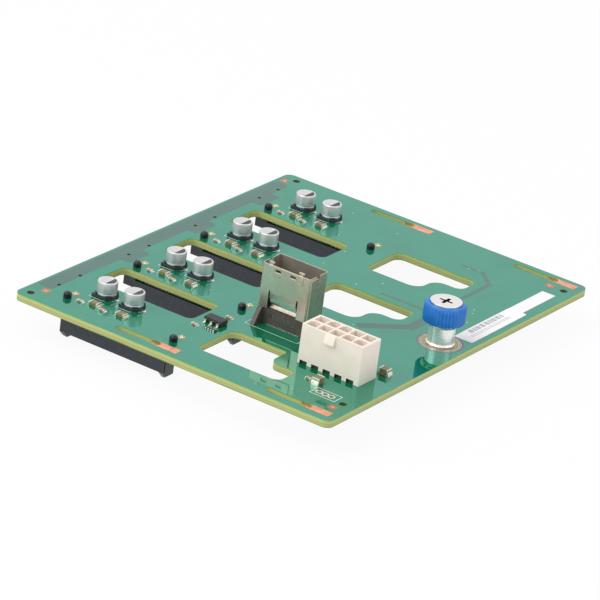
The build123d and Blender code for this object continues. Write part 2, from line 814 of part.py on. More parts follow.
# Data connector cage: a folded tube with a bent tongue in front, and four legs through the board
cage_front = data_y - cage_depth / 2
cage_right = data_x + cage_width / 2
with BuildPart() as data_cage:
    with BuildSketch(topside.offset(cage_bottom)):
        with Locations((data_x, data_y)):
            RectangleRounded(cage_width, cage_depth, cage_corner_radius)
            RectangleRounded(
                cage_width - 2 * cage_sheet,
                cage_depth - 2 * cage_sheet,
                cage_corner_radius - cage_sheet,
                mode=Mode.SUBTRACT,
            )
    extrude(amount=cage_top - cage_bottom)
    with BuildSketch(underside.offset(-cage_leg_below)):
        with Locations(leg_places):
            Rectangle(cage_sheet, cage_leg_width)
    extrude(amount=cage_leg_below + board_thickness + cage_bottom)
    # Raised band and hooks along the top of the front wall
    with BuildSketch(facing_front(topside, data_x, cage_front, cage_top)):
        Rectangle(cage_band_length, cage_band_height, align=(Align.CENTER, Align.MAX))
    extrude(amount=cage_band_proud)
    with BuildSketch(facing_front(topside, data_x, cage_front, cage_top)):
        with GridLocations(cage_hook_spacing, 1, 2, 1):
            Rectangle(cage_hook_neck, cage_hook_height, align=(Align.CENTER, Align.MIN))
            with Locations((0, cage_hook_neck_height)):
                head_height = cage_hook_height - cage_hook_neck_height
                Rectangle(cage_hook_head, head_height, align=(Align.CENTER, Align.MIN))
    extrude(amount=-cage_sheet)
    # Windows through the front wall, and the slits on both sides of the tongue
    with BuildSketch(facing_front(topside, data_x, cage_front - cage_band_proud, cage_top)):
        with Locations((0, -cage_window_drop)):
            with GridLocations(cage_window_spacing, 1, 2, 1):
                Rectangle(cage_window_width, cage_window_height)
        opening_width = tongue_width + 2 * tongue_slit
        with Locations((0, cage_bottom - cage_top)):
            Rectangle(opening_width, tongue_length, align=(Align.CENTER, Align.MIN))
    extrude(amount=-(cage_band_proud + cage_sheet), mode=Mode.SUBTRACT)
    # Tongue: straight below its root, then leaning in to a lip turned back out
    with BuildSketch(facing_right(topside, data_x, cage_front, cage_bottom)):
        with BuildLine():
            Polyline(
                (0, tongue_length),
                (0, tongue_bend),
                (tongue_lean, tongue_tip_gap),
                (tongue_lean - tongue_lip, tongue_tip_gap),
            )
            offset(amount=cage_sheet, side=Side.LEFT)
        make_face()
    extrude(amount=tongue_width / 2, both=True)
    # Notches in the top of the side walls
    with BuildSketch(facing_right(topside, cage_right, data_y + cage_notch_shift, cage_top)):
        Rectangle(cage_notch_width, cage_notch_depth, align=(Align.CENTER, Align.MAX))
    extrude(amount=-cage_width, mode=Mode.SUBTRACT)
    # Flap folded over the right wall at the seam
    with BuildSketch(facing_right(topside, cage_right, cage_front + cage_corner_radius, cage_bottom)):
        flap_height = cage_top - cage_bottom - cage_flap_drop
        Rectangle(cage_flap_width, flap_height, align=Align.MIN)
    extrude(amount=cage_sheet)
save(data_cage.part, "data_cage")

# Data connector base with its card slot and a cheek at the left end
base_width = cage_width - 2 * (cage_sheet + data_base_gap)
base_depth = cage_depth - 2 * (cage_sheet + data_base_gap)
base_front = data_y - base_depth / 2
cheek_x = data_x - (base_width - cheek_width) / 2 + cheek_inset
data_row_x = data_x + data_row_shift
data_row_length = row(data_contact_count, data_contact_pitch)[-1] * 2 + data_contact_width
card_block_top = cage_bottom + card_block_height
data_row_outer = card_slot_width / 2 + slit_width - slit_clearance
with BuildPart() as data_base:
    with BuildSketch(topside):
        with Locations((data_x, data_y)):
            Rectangle(base_width, base_depth)
    extrude(amount=cage_bottom)
    with BuildSketch(topside.offset(cage_bottom)):
        with Locations((data_x, data_y)):
            Rectangle(card_block_length, card_block_depth)
    extrude(amount=card_block_height)
    with BuildSketch(facing_right(topside, cheek_x, base_front, 0)):
        with BuildLine():
            Polyline(
                (0, 0),
                (-cheek_foot_reach, 0),
                (-cheek_top_reach, cage_bottom),
                (0, cage_bottom),
                close=True,
            )
        make_face()
    extrude(amount=cheek_width / 2, both=True)
    # Ribs on the front wall, card slot, contact slits, and the space over the tails
    with BuildSketch(facing_front(topside, data_row_x, base_front, cage_bottom - rib_drop)):
        with GridLocations(data_contact_pitch, 1, data_contact_count, 1):
            Rectangle(rib_width, rib_height, align=(Align.CENTER, Align.MAX))
    extrude(amount=rib_proud)
    with BuildSketch(topside.offset(card_block_top)):
        with Locations((data_x, data_y)):
            Rectangle(card_slot_length, card_slot_width)
    extrude(amount=-card_slot_depth, mode=Mode.SUBTRACT)
    with BuildSketch(topside):
        with Locations((data_row_x, data_y)):
            with GridLocations(1, card_slot_width + slit_width, 1, 2):
                Rectangle(data_row_length + 2 * slit_clearance, slit_width)
    extrude(amount=card_block_top - slit_width, mode=Mode.SUBTRACT)
    with BuildSketch(topside):
        with Locations((data_row_x, data_y)):
            Rectangle(data_row_length + 2 * slit_width, base_depth)
    extrude(amount=data_tail_gap, mode=Mode.SUBTRACT)
save(data_base.part, "data_connector_base")

with BuildPart() as data_contacts:
    data_tail_end = base_depth / 2 + data_tail_reach
    data_tip = card_block_top - data_contact_tip_gap
    for side in (-1, 1):
        outline = contact_outline(
            side, 1, data_row_outer, data_tail_end, data_contact_bend, data_tip, data_contact_bow
        )
        for step in row(data_contact_count, data_contact_pitch):
            with BuildSketch(facing_right(topside, data_row_x + step, data_y, 0)):
                with BuildLine():
                    Polyline(outline, close=True)
                make_face()
    extrude(amount=data_contact_width / 2, both=True)
save(data_contacts.part, "data_contacts")

# Captive thumbscrew: solder pad, ferrule, spring, screw and knob
screw_axis = Axis(topside.from_local_coords(Vector(screw_x, screw_y, 0)), (0, 0, 1))
screw_section = facing_front(topside, screw_x, screw_y, 0)
pass_radius = screw_radius + ferrule_screw_clearance
rim_bottom = ferrule_top - ferrule_rim_height
collar_top = rim_bottom - collar_gap
collar_bottom = collar_top - collar_height
ferrule_bottom = -board_thickness - ferrule_lip_height
flange_top = copper_thickness + ferrule_flange_height

with BuildPart() as screw_pad:
    with BuildSketch(topside):
        with Locations((screw_x, screw_y)):
            Circle(screw_pad_radius)
            Circle(ferrule_shank_radius + ferrule_hole_clearance, mode=Mode.SUBTRACT)
    extrude(amount=copper_thickness)
save(screw_pad.part, "screw_ground_pad")

with BuildPart() as ferrule:
    with BuildSketch(screw_section):
        with BuildLine():
            Polyline(
                (pass_radius, ferrule_bottom),
                (ferrule_lip_radius, ferrule_bottom),
                (ferrule_lip_radius, -board_thickness),
                (ferrule_shank_radius, -board_thickness),
                (ferrule_shank_radius, copper_thickness),
                (ferrule_flange_radius, copper_thickness),
                (ferrule_flange_radius, flange_top),
                (ferrule_radius, flange_top + ferrule_cone_height),
                (ferrule_radius, ferrule_top),
                (pass_radius, ferrule_top),
                (pass_radius, rim_bottom),
                (ferrule_bore_radius, rim_bottom),
                (ferrule_bore_radius, ferrule_floor),
                (pass_radius, ferrule_floor),
                close=True,
            )
        make_face()
    revolve(axis=screw_axis)
save(ferrule.part, "screw_ferrule")

head_seat = knob_top + screw_head_stand - screw_head_height
cavity_top = head_seat - (knob_roof - (knob_top - head_seat))
with BuildPart() as thumb_screw:
    with BuildSketch(screw_section):
        with BuildLine():
            Polyline(
                (0, ferrule_bottom + screw_tip_inset),
                (screw_radius - screw_point, ferrule_bottom + screw_tip_inset),
                (screw_radius, ferrule_bottom + screw_tip_inset + screw_point),
                (screw_radius, collar_bottom),
                (ferrule_bore_radius - collar_clearance, collar_bottom),
                (ferrule_bore_radius - collar_clearance, collar_top),
                (screw_radius, collar_top),
                (screw_radius, cavity_top),
                (screw_boss_radius, cavity_top),
                (screw_boss_radius, head_seat),
                (screw_head_radius, head_seat),
                (screw_head_radius, head_seat + screw_head_height),
                (0, head_seat + screw_head_height),
                close=True,
            )
        make_face()
    revolve(axis=screw_axis)
    with BuildSketch(topside.offset(head_seat + screw_head_height)):
        with Locations((screw_x, screw_y)):
            Rectangle(screw_recess_span, screw_recess_width)
            Rectangle(screw_recess_width, screw_recess_span)
    extrude(amount=-screw_recess_depth, mode=Mode.SUBTRACT)
save(thumb_screw.part, "thumb_screw")

knob_core = knob_radius - knob_rib_stand
with BuildPart() as knob:
    with BuildSketch(screw_section):
        with BuildLine():
            Polyline(
                (knob_core - knob_top_chamfer, knob_top),
                (screw_head_radius + screw_head_clearance, knob_top),
                (screw_head_radius + screw_head_clearance, head_seat),
                (screw_boss_radius, head_seat),
                (screw_boss_radius, cavity_top),
                (knob_cavity_radius, cavity_top),
                (knob_cavity_radius, knob_bottom),
                (knob_core, knob_bottom),
                (knob_core, knob_top - knob_top_chamfer),
                close=True,
            )
        make_face()
    revolve(axis=screw_axis)
    with BuildSketch(topside.offset(knob_bottom)):
        with Locations((screw_x, screw_y)):
            with PolarLocations(knob_radius - knob_rib_radius, knob_rib_count):
                half_turn = 180 / knob_rib_sides
                RegularPolygon(knob_rib_radius, knob_rib_sides, major_radius=False, rotation=half_turn)
    extrude(amount=knob_top - knob_bottom - knob_rib_top_gap)
save(knob.part, "screw_knob")

spring_bottom = ferrule_floor + spring_end_gap + spring_wire_radius
spring_height = collar_bottom - spring_end_gap - spring_wire_radius - spring_bottom
spring_foot = Plane(topside.from_local_coords(Vector(screw_x, screw_y, spring_bottom)))
with BuildPart() as spring:
    with BuildLine(spring_foot):
        coil = Helix(spring_height / spring_turns, spring_height, spring_radius)
    with BuildSketch(Plane(origin=coil @ 0, z_dir=coil % 0)):
        RegularPolygon(spring_wire_radius, spring_wire_sides)
    sweep(is_frenet=True)
save(spring.part, "screw_spring")

# Printed label strip
with BuildPart() as label:
    with BuildSketch(topside):
        with Locations((label_x, label_y)):
            Rectangle(label_width, label_length)
    extrude(amount=label_thickness)
save(label.part, "edge_label")
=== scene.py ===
import json
import math

import bmesh
import bpy
from mathutils import Matrix, Vector

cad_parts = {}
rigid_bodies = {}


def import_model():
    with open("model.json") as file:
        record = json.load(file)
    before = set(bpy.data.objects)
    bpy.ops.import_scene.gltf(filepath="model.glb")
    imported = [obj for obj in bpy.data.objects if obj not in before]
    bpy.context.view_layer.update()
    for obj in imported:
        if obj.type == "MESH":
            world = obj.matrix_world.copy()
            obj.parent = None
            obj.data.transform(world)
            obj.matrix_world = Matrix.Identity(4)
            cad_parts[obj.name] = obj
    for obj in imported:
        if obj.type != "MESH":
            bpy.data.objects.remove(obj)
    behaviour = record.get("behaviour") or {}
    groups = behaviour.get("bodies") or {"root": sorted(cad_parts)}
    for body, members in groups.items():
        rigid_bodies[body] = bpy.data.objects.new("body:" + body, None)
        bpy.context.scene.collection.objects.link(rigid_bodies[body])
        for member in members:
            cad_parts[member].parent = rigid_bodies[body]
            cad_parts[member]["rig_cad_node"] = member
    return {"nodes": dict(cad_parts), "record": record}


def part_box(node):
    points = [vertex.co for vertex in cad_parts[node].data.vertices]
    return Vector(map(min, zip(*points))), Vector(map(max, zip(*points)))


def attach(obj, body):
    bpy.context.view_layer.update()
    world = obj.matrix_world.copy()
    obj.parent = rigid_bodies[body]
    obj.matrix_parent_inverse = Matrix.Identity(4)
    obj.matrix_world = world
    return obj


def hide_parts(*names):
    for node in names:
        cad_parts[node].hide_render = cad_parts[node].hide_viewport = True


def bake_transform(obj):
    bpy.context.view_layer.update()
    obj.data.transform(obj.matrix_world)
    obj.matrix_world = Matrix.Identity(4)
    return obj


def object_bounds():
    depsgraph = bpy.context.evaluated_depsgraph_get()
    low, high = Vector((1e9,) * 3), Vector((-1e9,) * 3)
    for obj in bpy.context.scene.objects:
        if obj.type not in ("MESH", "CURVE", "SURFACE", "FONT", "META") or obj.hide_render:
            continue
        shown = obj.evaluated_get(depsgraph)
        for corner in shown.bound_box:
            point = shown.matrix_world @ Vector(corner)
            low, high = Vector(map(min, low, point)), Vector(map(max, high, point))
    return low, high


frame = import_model()
nodes = frame["nodes"]
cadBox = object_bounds()
mm = 0.001
boardLow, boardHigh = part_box("board")
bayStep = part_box("drive_connector_2")[0].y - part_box("drive_connector_1")[0].y
bayCount = sum(name.startswith("drive_connector_") for name in nodes)
mergeReach = {"new": 1e-7, "cad": 1e-6}  # metres between corners that become one
print("frame loaded:", len(nodes), "nodes,", bayCount, "bays")


# Places

def onBoard(x, y):  # millimetres from the left front corner of the component side
    return Vector((boardLow.x + x * mm, boardLow.y + y * mm, boardHigh.z))


def everyBay(spots):
    return [spot + Vector((0, bay * bayStep, 0)) for bay in range(bayCount) for spot in spots]


def solidsOf(nodeName):  # lowest and highest corner of each separate solid of a CAD node
    mesh = bmesh.new()
    mesh.from_mesh(nodes[nodeName].data)
    bmesh.ops.remove_doubles(mesh, verts=mesh.verts, dist=mergeReach["cad"])
    waiting, boxes = set(mesh.verts), []
    while waiting:
        found, front = [], [waiting.pop()]
        while front:
            corner = front.pop()
            found.append(corner.co.copy())
            for edge in corner.link_edges:
                other = edge.other_vert(corner)
                if other in waiting:
                    waiting.remove(other)
                    front.append(other)
        low = Vector(min(place[axis] for place in found) for axis in range(3))
        high = Vector(max(place[axis] for place in found) for axis in range(3))
        boxes.append((low, high))
    mesh.free()
    return sorted(boxes, key=lambda pair: tuple(pair[0]))


def footOf(low, high):  # the middle of a box, down on the board's component side
    return Vector(((low.x + high.x) / 2, (low.y + high.y) / 2, boardHigh.z))


def measures(low, high):  # a box's two heights over the board, and half its width, in millimetres
    return (low.z - boardHigh.z) / mm, (high.z - boardHigh.z) / mm, (high.x - low.x) / 2 / mm


def feetOf(nodeName):
    return [footOf(low, high) for low, high in solidsOf(nodeName)]


# Selection and finishing

def clearSelection():
    if bpy.context.mode != "OBJECT":
        bpy.ops.object.mode_set(mode="OBJECT")
    bpy.ops.object.select_all(action="DESELECT")


def pick(piece):
    clearSelection()
    piece.select_set(True)
    bpy.context.view_layer.objects.active = piece


def selectAll(part="FACE"):
    bpy.ops.mesh.select_mode(type=part)
    bpy.ops.mesh.select_all(action="SELECT")


def openEdit(piece, part="FACE"):
    pick(piece)
    bpy.ops.object.mode_set(mode="EDIT")
    selectAll(part)


def closeEdit():
    bpy.ops.object.mode_set(mode="OBJECT")


def selectWhere(piece, part, test):  # in edit mode; part is faces, edges or verts
    bpy.ops.mesh.select_mode(type=part[:-1].upper())
    bpy.ops.mesh.select_all(action="DESELECT")
    mesh = bmesh.from_edit_mesh(piece.data)
    for item in getattr(mesh, part):
        if test(item):
            item.select_set(True)
    mesh.select_flush_mode()
    bmesh.update_edit_mesh(piece.data)


def joined(pieces, name):
    clearSelection()
    for piece in pieces:
        piece.select_set(True)
    bpy.context.view_layer.objects.active = pieces[0]
    if len(pieces) > 1:
        bpy.ops.object.join()
    whole = bpy.context.object
    whole.name = name
    return whole


def copiesAt(piece, places):  # the piece stands at the first place, and gets a copy at every other
    made = [piece]
    for place in places[1:]:
        pick(piece)
        bpy.ops.object.duplicate(linked=False)
        bpy.ops.transform.translate(value=place - places[0])
        made.append(bpy.context.object)
    return made


def repeated(piece, places, name):
    return joined(copiesAt(piece, places), name)


def outwardNormals(piece, weld=False):
    openEdit(piece)
    if weld:
        bpy.ops.mesh.remove_doubles(threshold=mergeReach["new"])
    bpy.ops.mesh.normals_make_consistent(inside=False)
    closeEdit()


def finishPiece(piece, slot, finish=None, body="board", smooth=35):  # the slot's finish, or a named one
    outwardNormals(piece, weld=True)
    bpy.ops.object.transform_apply(location=True, rotation=True, scale=True)
    bpy.ops.object.shade_smooth_by_angle(angle=math.radians(smooth))
    piece.data.materials.clear()
    piece.data.materials.append(finishes[finish or slot])
    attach(piece, body)
    return piece


def paintFaces(piece, extra, choose):  # choose gives a face 0, or an extra finish's number
    for finish in extra:
        piece.data.materials.append(finishes[finish])
    for face in piece.data.polygons:
        face.material_index = int(choose(face))


def addBevel(piece, width, segments=2, angle=40):
    pick(piece)
    bevel = piece.modifiers.new("edges", "BEVEL")
    bevel.width = width * mm
    bevel.segments = segments
    bevel.limit_method = "ANGLE"
    bevel.angle_limit = math.radians(angle)
    bevel.harden_normals = False
    bpy.ops.object.modifier_apply(modifier=bevel.name)


def flattenNormals(piece):  # wide faces shade flat, and the rounding beside them carries the turn
    pick(piece)
    level = piece.modifiers.new("flatFaces", "WEIGHTED_NORMAL")
    level.keep_sharp = True
    bpy.ops.object.modifier_apply(modifier=level.name)


def mergedCopy(nodeName, name, flatAngle=1):  # a CAD node's copy, its triangles merged where they lie flat
    pick(nodes[nodeName])
    bpy.ops.object.duplicate(linked=False)
    piece = bpy.context.object
    piece.name = name
    del piece["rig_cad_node"]
    openEdit(piece)
    bpy.ops.mesh.remove_doubles(threshold=mergeReach["cad"])
    if flatAngle:
        bpy.ops.mesh.dissolve_limited(angle_limit=math.radians(flatAngle))
    closeEdit()
    return piece


def dressedCopy(nodeName, name, slot, rounding, segments=2, finish=None, body="board", smooth=35):
    piece = mergedCopy(nodeName, name)
    addBevel(piece, rounding, segments)
    finishPiece(piece, slot, finish, body, smooth)
    flattenNormals(piece)
    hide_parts(nodeName)
    return piece


# Shapes that several pieces start from

def extrudeUp(height):  # in metres
    bpy.ops.mesh.extrude_region_move(TRANSFORM_OT_translate={"value": (0, 0, height)})


def bridgeEnds():  # the last ring meets the first
    bpy.ops.mesh.select_all(action="DESELECT")
    bpy.ops.mesh.select_non_manifold()
    bpy.ops.mesh.bridge_edge_loops()


def turnPiece(name, spot, profile, sides, hollow=False):  # profile is (radius, height) pairs in millimetres
    radius, height = profile[0]
    clearSelection()
    bpy.ops.mesh.primitive_circle_add(
        vertices=sides, radius=radius * mm, fill_type="NOTHING" if hollow else "NGON",
        location=spot + Vector((0, 0, height * mm)))
    piece = bpy.context.object
    piece.name = name
    openEdit(piece, "EDGE" if hollow else "FACE")
    for nextRadius, nextHeight in profile[1:]:
        rise = (nextHeight - height) * mm
        if hollow:
            bpy.ops.mesh.extrude_edges_move(TRANSFORM_OT_translate={"value": (0, 0, rise)})
        else:
            extrudeUp(rise)
        share = nextRadius / radius
        bpy.ops.transform.resize(value=(share, share, 1), center_override=spot)
        radius, height = nextRadius, nextHeight
    if hollow:
        bridgeEnds()
    closeEdit()
    return piece


def flatRing(name, spot, outer, inner, height, sides):
    profile = [(outer, 0), (outer, height), (inner, height), (inner, 0)]
    return turnPiece(name, spot, profile, sides, hollow=True)


def disc(name, spot, radius, low, high, sides):
    return turnPiece(name, spot, [(radius, low), (radius, high)], sides)


def startSheet(name, spot, length, width):  # left in edit mode with all of it selected
    clearSelection()
    bpy.ops.mesh.primitive_plane_add(size=1, location=spot)
    piece = bpy.context.object
    piece.name = name
    openEdit(piece)
    bpy.ops.transform.resize(value=(length * mm, width * mm, 1), center_override=spot)
    return piece


def startBlock(name, spot, size):  # left in edit mode with all of it selected; size is in metres
    clearSelection()
    bpy.ops.mesh.primitive_cube_add(size=1, location=spot)
    piece = bpy.context.object
    piece.name = name
    openEdit(piece)
    bpy.ops.transform.resize(value=size, center_override=spot)
    return piece


def keepRim(width):
    selectAll()
    bpy.ops.mesh.inset(thickness=width * mm)
    bpy.ops.mesh.delete(type="FACE")


def flatPatch(name, spot, length, width, thickness, turn=0.0, corner=0.0):  # corner is the radius there
    piece = startSheet(name, spot, length, width)
    if corner:
        bpy.ops.mesh.bevel(offset=corner * mm, segments=4, affect="VERTICES")
        bpy.ops.mesh.select_all(action="SELECT")
    if turn:
        bpy.ops.transform.rotate(value=-math.radians(turn), orient_axis="Z", center_override=spot)
    extrudeUp(thickness * mm)
    closeEdit()
    return piece


def flatFrame(name, spot, length, width, line, thickness, cutCorners=0.0):  # cut at its +X corners
    piece = startSheet(name, spot, length, width)
    if cutCorners:
        selectWhere(piece, "verts", lambda corner: corner.co.x > 0)
        bpy.ops.mesh.bevel(offset=cutCorners * mm * math.sqrt(2), segments=1, affect="VERTICES")
    keepRim(line)
    selectAll()
    extrudeUp(thickness * mm)
    closeEdit()
    return piece


def strip(name, start, end, width, thickness):  # a straight track between two places on the board
    run = Vector(end) - Vector(start)
    middle = (Vector(start) + Vector(end)) / 2
    turn = math.degrees(math.atan2(run.y, run.x))
    return flatPatch(name, onBoard(*middle), run.length + width, width, thickness, turn, width / 3)


# Camera, at the photograph's place and turn
view = {
    "spot": (0.6057, -1.0135, 0.5195),
    "right": (0.8155, 0.56485, 0.12608),
    "up": (-0.32539, 0.26733, 0.907),
    "lens": 251.3,
    "sensor": 36.0,
    "reach": 20,
}
cameraData = bpy.data.cameras.new("camera")
cameraData.lens = view["lens"]
cameraData.sensor_width = view["sensor"]
cameraData.clip_end = view["reach"]
camera = bpy.data.objects.new("camera", cameraData)
bpy.context.scene.collection.objects.link(camera)
right, up = Vector(view["right"]), Vector(view["up"])
turned = Matrix((right, up, right.cross(up))).transposed().to_4x4()
camera.matrix_world = Matrix.Translation(Vector(view["spot"])) @ turned
bpy.context.scene.camera = camera
bpy.context.scene.view_settings.view_transform = "Standard"

# Floor, world and lamps
studio = {
    "floorSize": 6.0,
    "floorGap": 0.0004,
    "floorGrey": 0.9,
    "floorRoughness": 0.9,
    "floorWhite": 0.93,   # share of plain white that the camera and reflections see
    "worldLight": 0.62,
    "lamps": {  # place, size and power
        "keyLamp": ((-0.55, -0.75, 0.95), 1.4, 12.4),
        "fillLamp": ((0.9, 0.35, 0.8), 0.8, 2.3),
    },
}


def newMaterial(name, color, roughness, metallic=0.0):
    material = bpy.data.materials.new(name)
    material.use_nodes = True
    shader = material.node_tree.nodes["Principled BSDF"]
    shader.inputs["Base Color"].default_value = (*color, 1)
    shader.inputs["Roughness"].default_value = roughness
    shader.inputs["Metallic"].default_value = metallic
    return material


def mathNode(tree, operation, *values):  # a value is a number or another node's output
    node = tree.nodes.new("ShaderNodeMath")
    node.operation = operation
    for socket, value in zip(node.inputs, values):
        if isinstance(value, float):
            socket.default_value = value
        else:
            tree.links.new(value, socket)
    return node.outputs[0]


def plainWhite(tree):  # 1 for what the camera, a reflection or a clear body sees
    path = tree.nodes.new("ShaderNodeLightPath")
    first = mathNode(tree, "MAXIMUM", path.outputs["Is Camera Ray"], path.outputs["Is Glossy Ray"])
    return mathNode(tree, "MAXIMUM", first, path.outputs["Is Transmission Ray"])


def mixAt(tree, share, first, second, target):
    mix = tree.nodes.new("ShaderNodeMixShader")
    for socket, output in zip(mix.inputs, (share, first.outputs[0], second.outputs[0])):
        tree.links.new(output, socket)
    tree.links.new(mix.outputs[0], tree.nodes[target].inputs["Surface"])


def makeFloor():
    clearSelection()
    level = cadBox[0].z - studio["floorGap"]
    bpy.ops.mesh.primitive_plane_add(size=studio["floorSize"], location=(0, 0, level))
    floor = bpy.context.object
    floor.name = "floor"
    material = newMaterial("floorPaper", [studio["floorGrey"]] * 3, studio["floorRoughness"])
    tree = material.node_tree
    paper = tree.nodes["Principled BSDF"]
    paper.inputs["Specular IOR Level"].default_value = 0.0
    glow = tree.nodes.new("ShaderNodeEmission")
    glow.inputs["Color"].default_value = (1, 1, 1, 1)
    share = mathNode(tree, "MULTIPLY", plainWhite(tree), studio["floorWhite"])
    mixAt(tree, share, paper, glow, "Material Output")
    floor.data.materials.append(material)


def makeWorld():
    world = bpy.data.worlds.new("studio")
    world.use_nodes = True
    tree = world.node_tree
    shown = tree.nodes["Background"]
    light = tree.nodes.new("ShaderNodeBackground")
    for background, strength in ((light, studio["worldLight"]), (shown, 1.0)):
        background.inputs["Color"].default_value = (1, 1, 1, 1)
        background.inputs["Strength"].default_value = strength
    mixAt(tree, plainWhite(tree), light, shown, "World Output")
    bpy.context.scene.world = world


def makeLamp(name, spot, size, power):
    lampData = bpy.data.lights.new(name, "AREA")
    lampData.shape = "SQUARE"
    lampData.size = size
    lampData.energy = power
    lamp = bpy.data.objects.new(name, lampData)
    bpy.context.scene.collection.objects.link(lamp)
    lamp.location = spot
    lamp.rotation_euler = (-Vector(spot)).to_track_quat("-Z", "Y").to_euler()


makeFloor()
makeWorld()
for name, (spot, size, power) in studio["lamps"].items():
    makeLamp(name, spot, size, power)
print("camera, floor and lamps placed")


# Finishes: a pattern's scale counts its features in a metre

pattern = {"detail": 3.0, "roughFrom": 0.3, "roughTo": 0.7}


def noiseOf(material, scale, stretch=(1, 1, 1)):
    tree = material.node_tree
    place = tree.nodes.new("ShaderNodeTexCoord")
    mapping = tree.nodes.new("ShaderNodeMapping")
    mapping.inputs["Scale"].default_value = stretch
    noise = tree.nodes.new("ShaderNodeTexNoise")
    noise.inputs["Scale"].default_value = scale
    noise.inputs["Detail"].default_value = pattern["detail"]
    tree.links.new(place.outputs["Object"], mapping.inputs["Vector"])
    tree.links.new(mapping.outputs["Vector"], noise.inputs["Vector"])
    return noise.outputs["Fac"]


def mottle(material, first, second, scale, stretch=(1, 1, 1), low=0.35, high=0.65):  # between two colours
    tree = material.node_tree
    ramp = tree.nodes.new("ShaderNodeValToRGB")
    for element, position, color in zip(ramp.color_ramp.elements, (low, high), (first, second)):
        element.position = position
        element.color = (*color, 1)
    tree.links.new(noiseOf(material, scale, stretch), ramp.inputs["Fac"])
    tree.links.new(ramp.outputs["Color"], tree.nodes["Principled BSDF"].inputs["Base Color"])


def varyRoughness(material, low, high, scale, stretch=(1, 1, 1)):
    tree = material.node_tree
    span = tree.nodes.new("ShaderNodeMapRange")
    span.inputs["From Min"].default_value = pattern["roughFrom"]
    span.inputs["From Max"].default_value = pattern["roughTo"]
    span.inputs["To Min"].default_value = low
    span.inputs["To Max"].default_value = high
    tree.links.new(noiseOf(material, scale, stretch), span.inputs["Value"])
    tree.links.new(span.outputs["Result"], tree.nodes["Principled BSDF"].inputs["Roughness"])


def grain(material, scale, strength, depth=0.02):  # depth in millimetres
    tree = material.node_tree
    bump = tree.nodes.new("ShaderNodeBump")
    bump.inputs["Strength"].default_value = strength
    bump.inputs["Distance"].default_value = depth * mm
    tree.links.new(noiseOf(material, scale), bump.inputs["Height"])
    tree.links.new(bump.outputs["Normal"], tree.nodes["Principled BSDF"].inputs["Normal"])


# tones, rough and bumps are what mottle, varyRoughness and grain take; sockets are other values
def newFinish(name, color, roughness, metallic=0.0, tones=None, rough=None, bumps=None, sockets=None):
    material = newMaterial(name, color, roughness, metallic)
    for socket, value in (sockets or {}).items():
        material.node_tree.nodes["Principled BSDF"].inputs[socket].default_value = value
    for apply, values in ((mottle, tones), (varyRoughness, rough), (grain, bumps)):
        if values:
            apply(material, *values)
    return material


def clearFilm(weight):  # a film that alone gives the gloss
    return {"Specular IOR Level": 0.0, "Coat Weight": weight, "Coat Roughness": 0.03}


laminate = {
    "roughness": 0.5, "drift": 0.3, "scale": 90,
    "layers": [  # share of the board's thickness, and the colour there
        (0.00, (0.09, 0.25, 0.06)), (0.09, (0.3, 0.38, 0.11)), (0.3, (0.43, 0.48, 0.17)),
        (0.46, (0.41, 0.34, 0.14)), (0.58, (0.49, 0.49, 0.19)), (0.86, (0.42, 0.54, 0.16)),
        (0.95, (0.14, 0.4, 0.12)),
    ],
}


def laminateEdge():  # glass laminate on the cut edges: its layers lie flat, between two films of mask
    layers = laminate["layers"]
    material = newMaterial("laminateEdge", layers[2][1], laminate["roughness"])
    tree = material.node_tree
    place = tree.nodes.new("ShaderNodeTexCoord")
    split = tree.nodes.new("ShaderNodeSeparateXYZ")
    level = tree.nodes.new("ShaderNodeMapRange")
    level.inputs["From Min"].default_value = boardLow.z
    level.inputs["From Max"].default_value = boardHigh.z
    ramp = tree.nodes.new("ShaderNodeValToRGB")
    for position, color in layers[1:-1]:
        ramp.color_ramp.elements.new(position)
    for element, (position, color) in zip(ramp.color_ramp.elements, layers):
        element.position = position
        element.color = (*color, 1)
    tree.links.new(place.outputs["Object"], split.inputs[0])
    tree.links.new(split.outputs["Z"], level.inputs["Value"])
    drift, noise = laminate["drift"], noiseOf(material, laminate["scale"])
    drifted = mathNode(tree, "MULTIPLY_ADD", noise, drift, level.outputs["Result"])
    tree.links.new(mathNode(tree, "SUBTRACT", drifted, drift / 2), ramp.inputs["Fac"])
    tree.links.new(ramp.outputs["Color"], tree.nodes["Principled BSDF"].inputs["Base Color"])
    return material


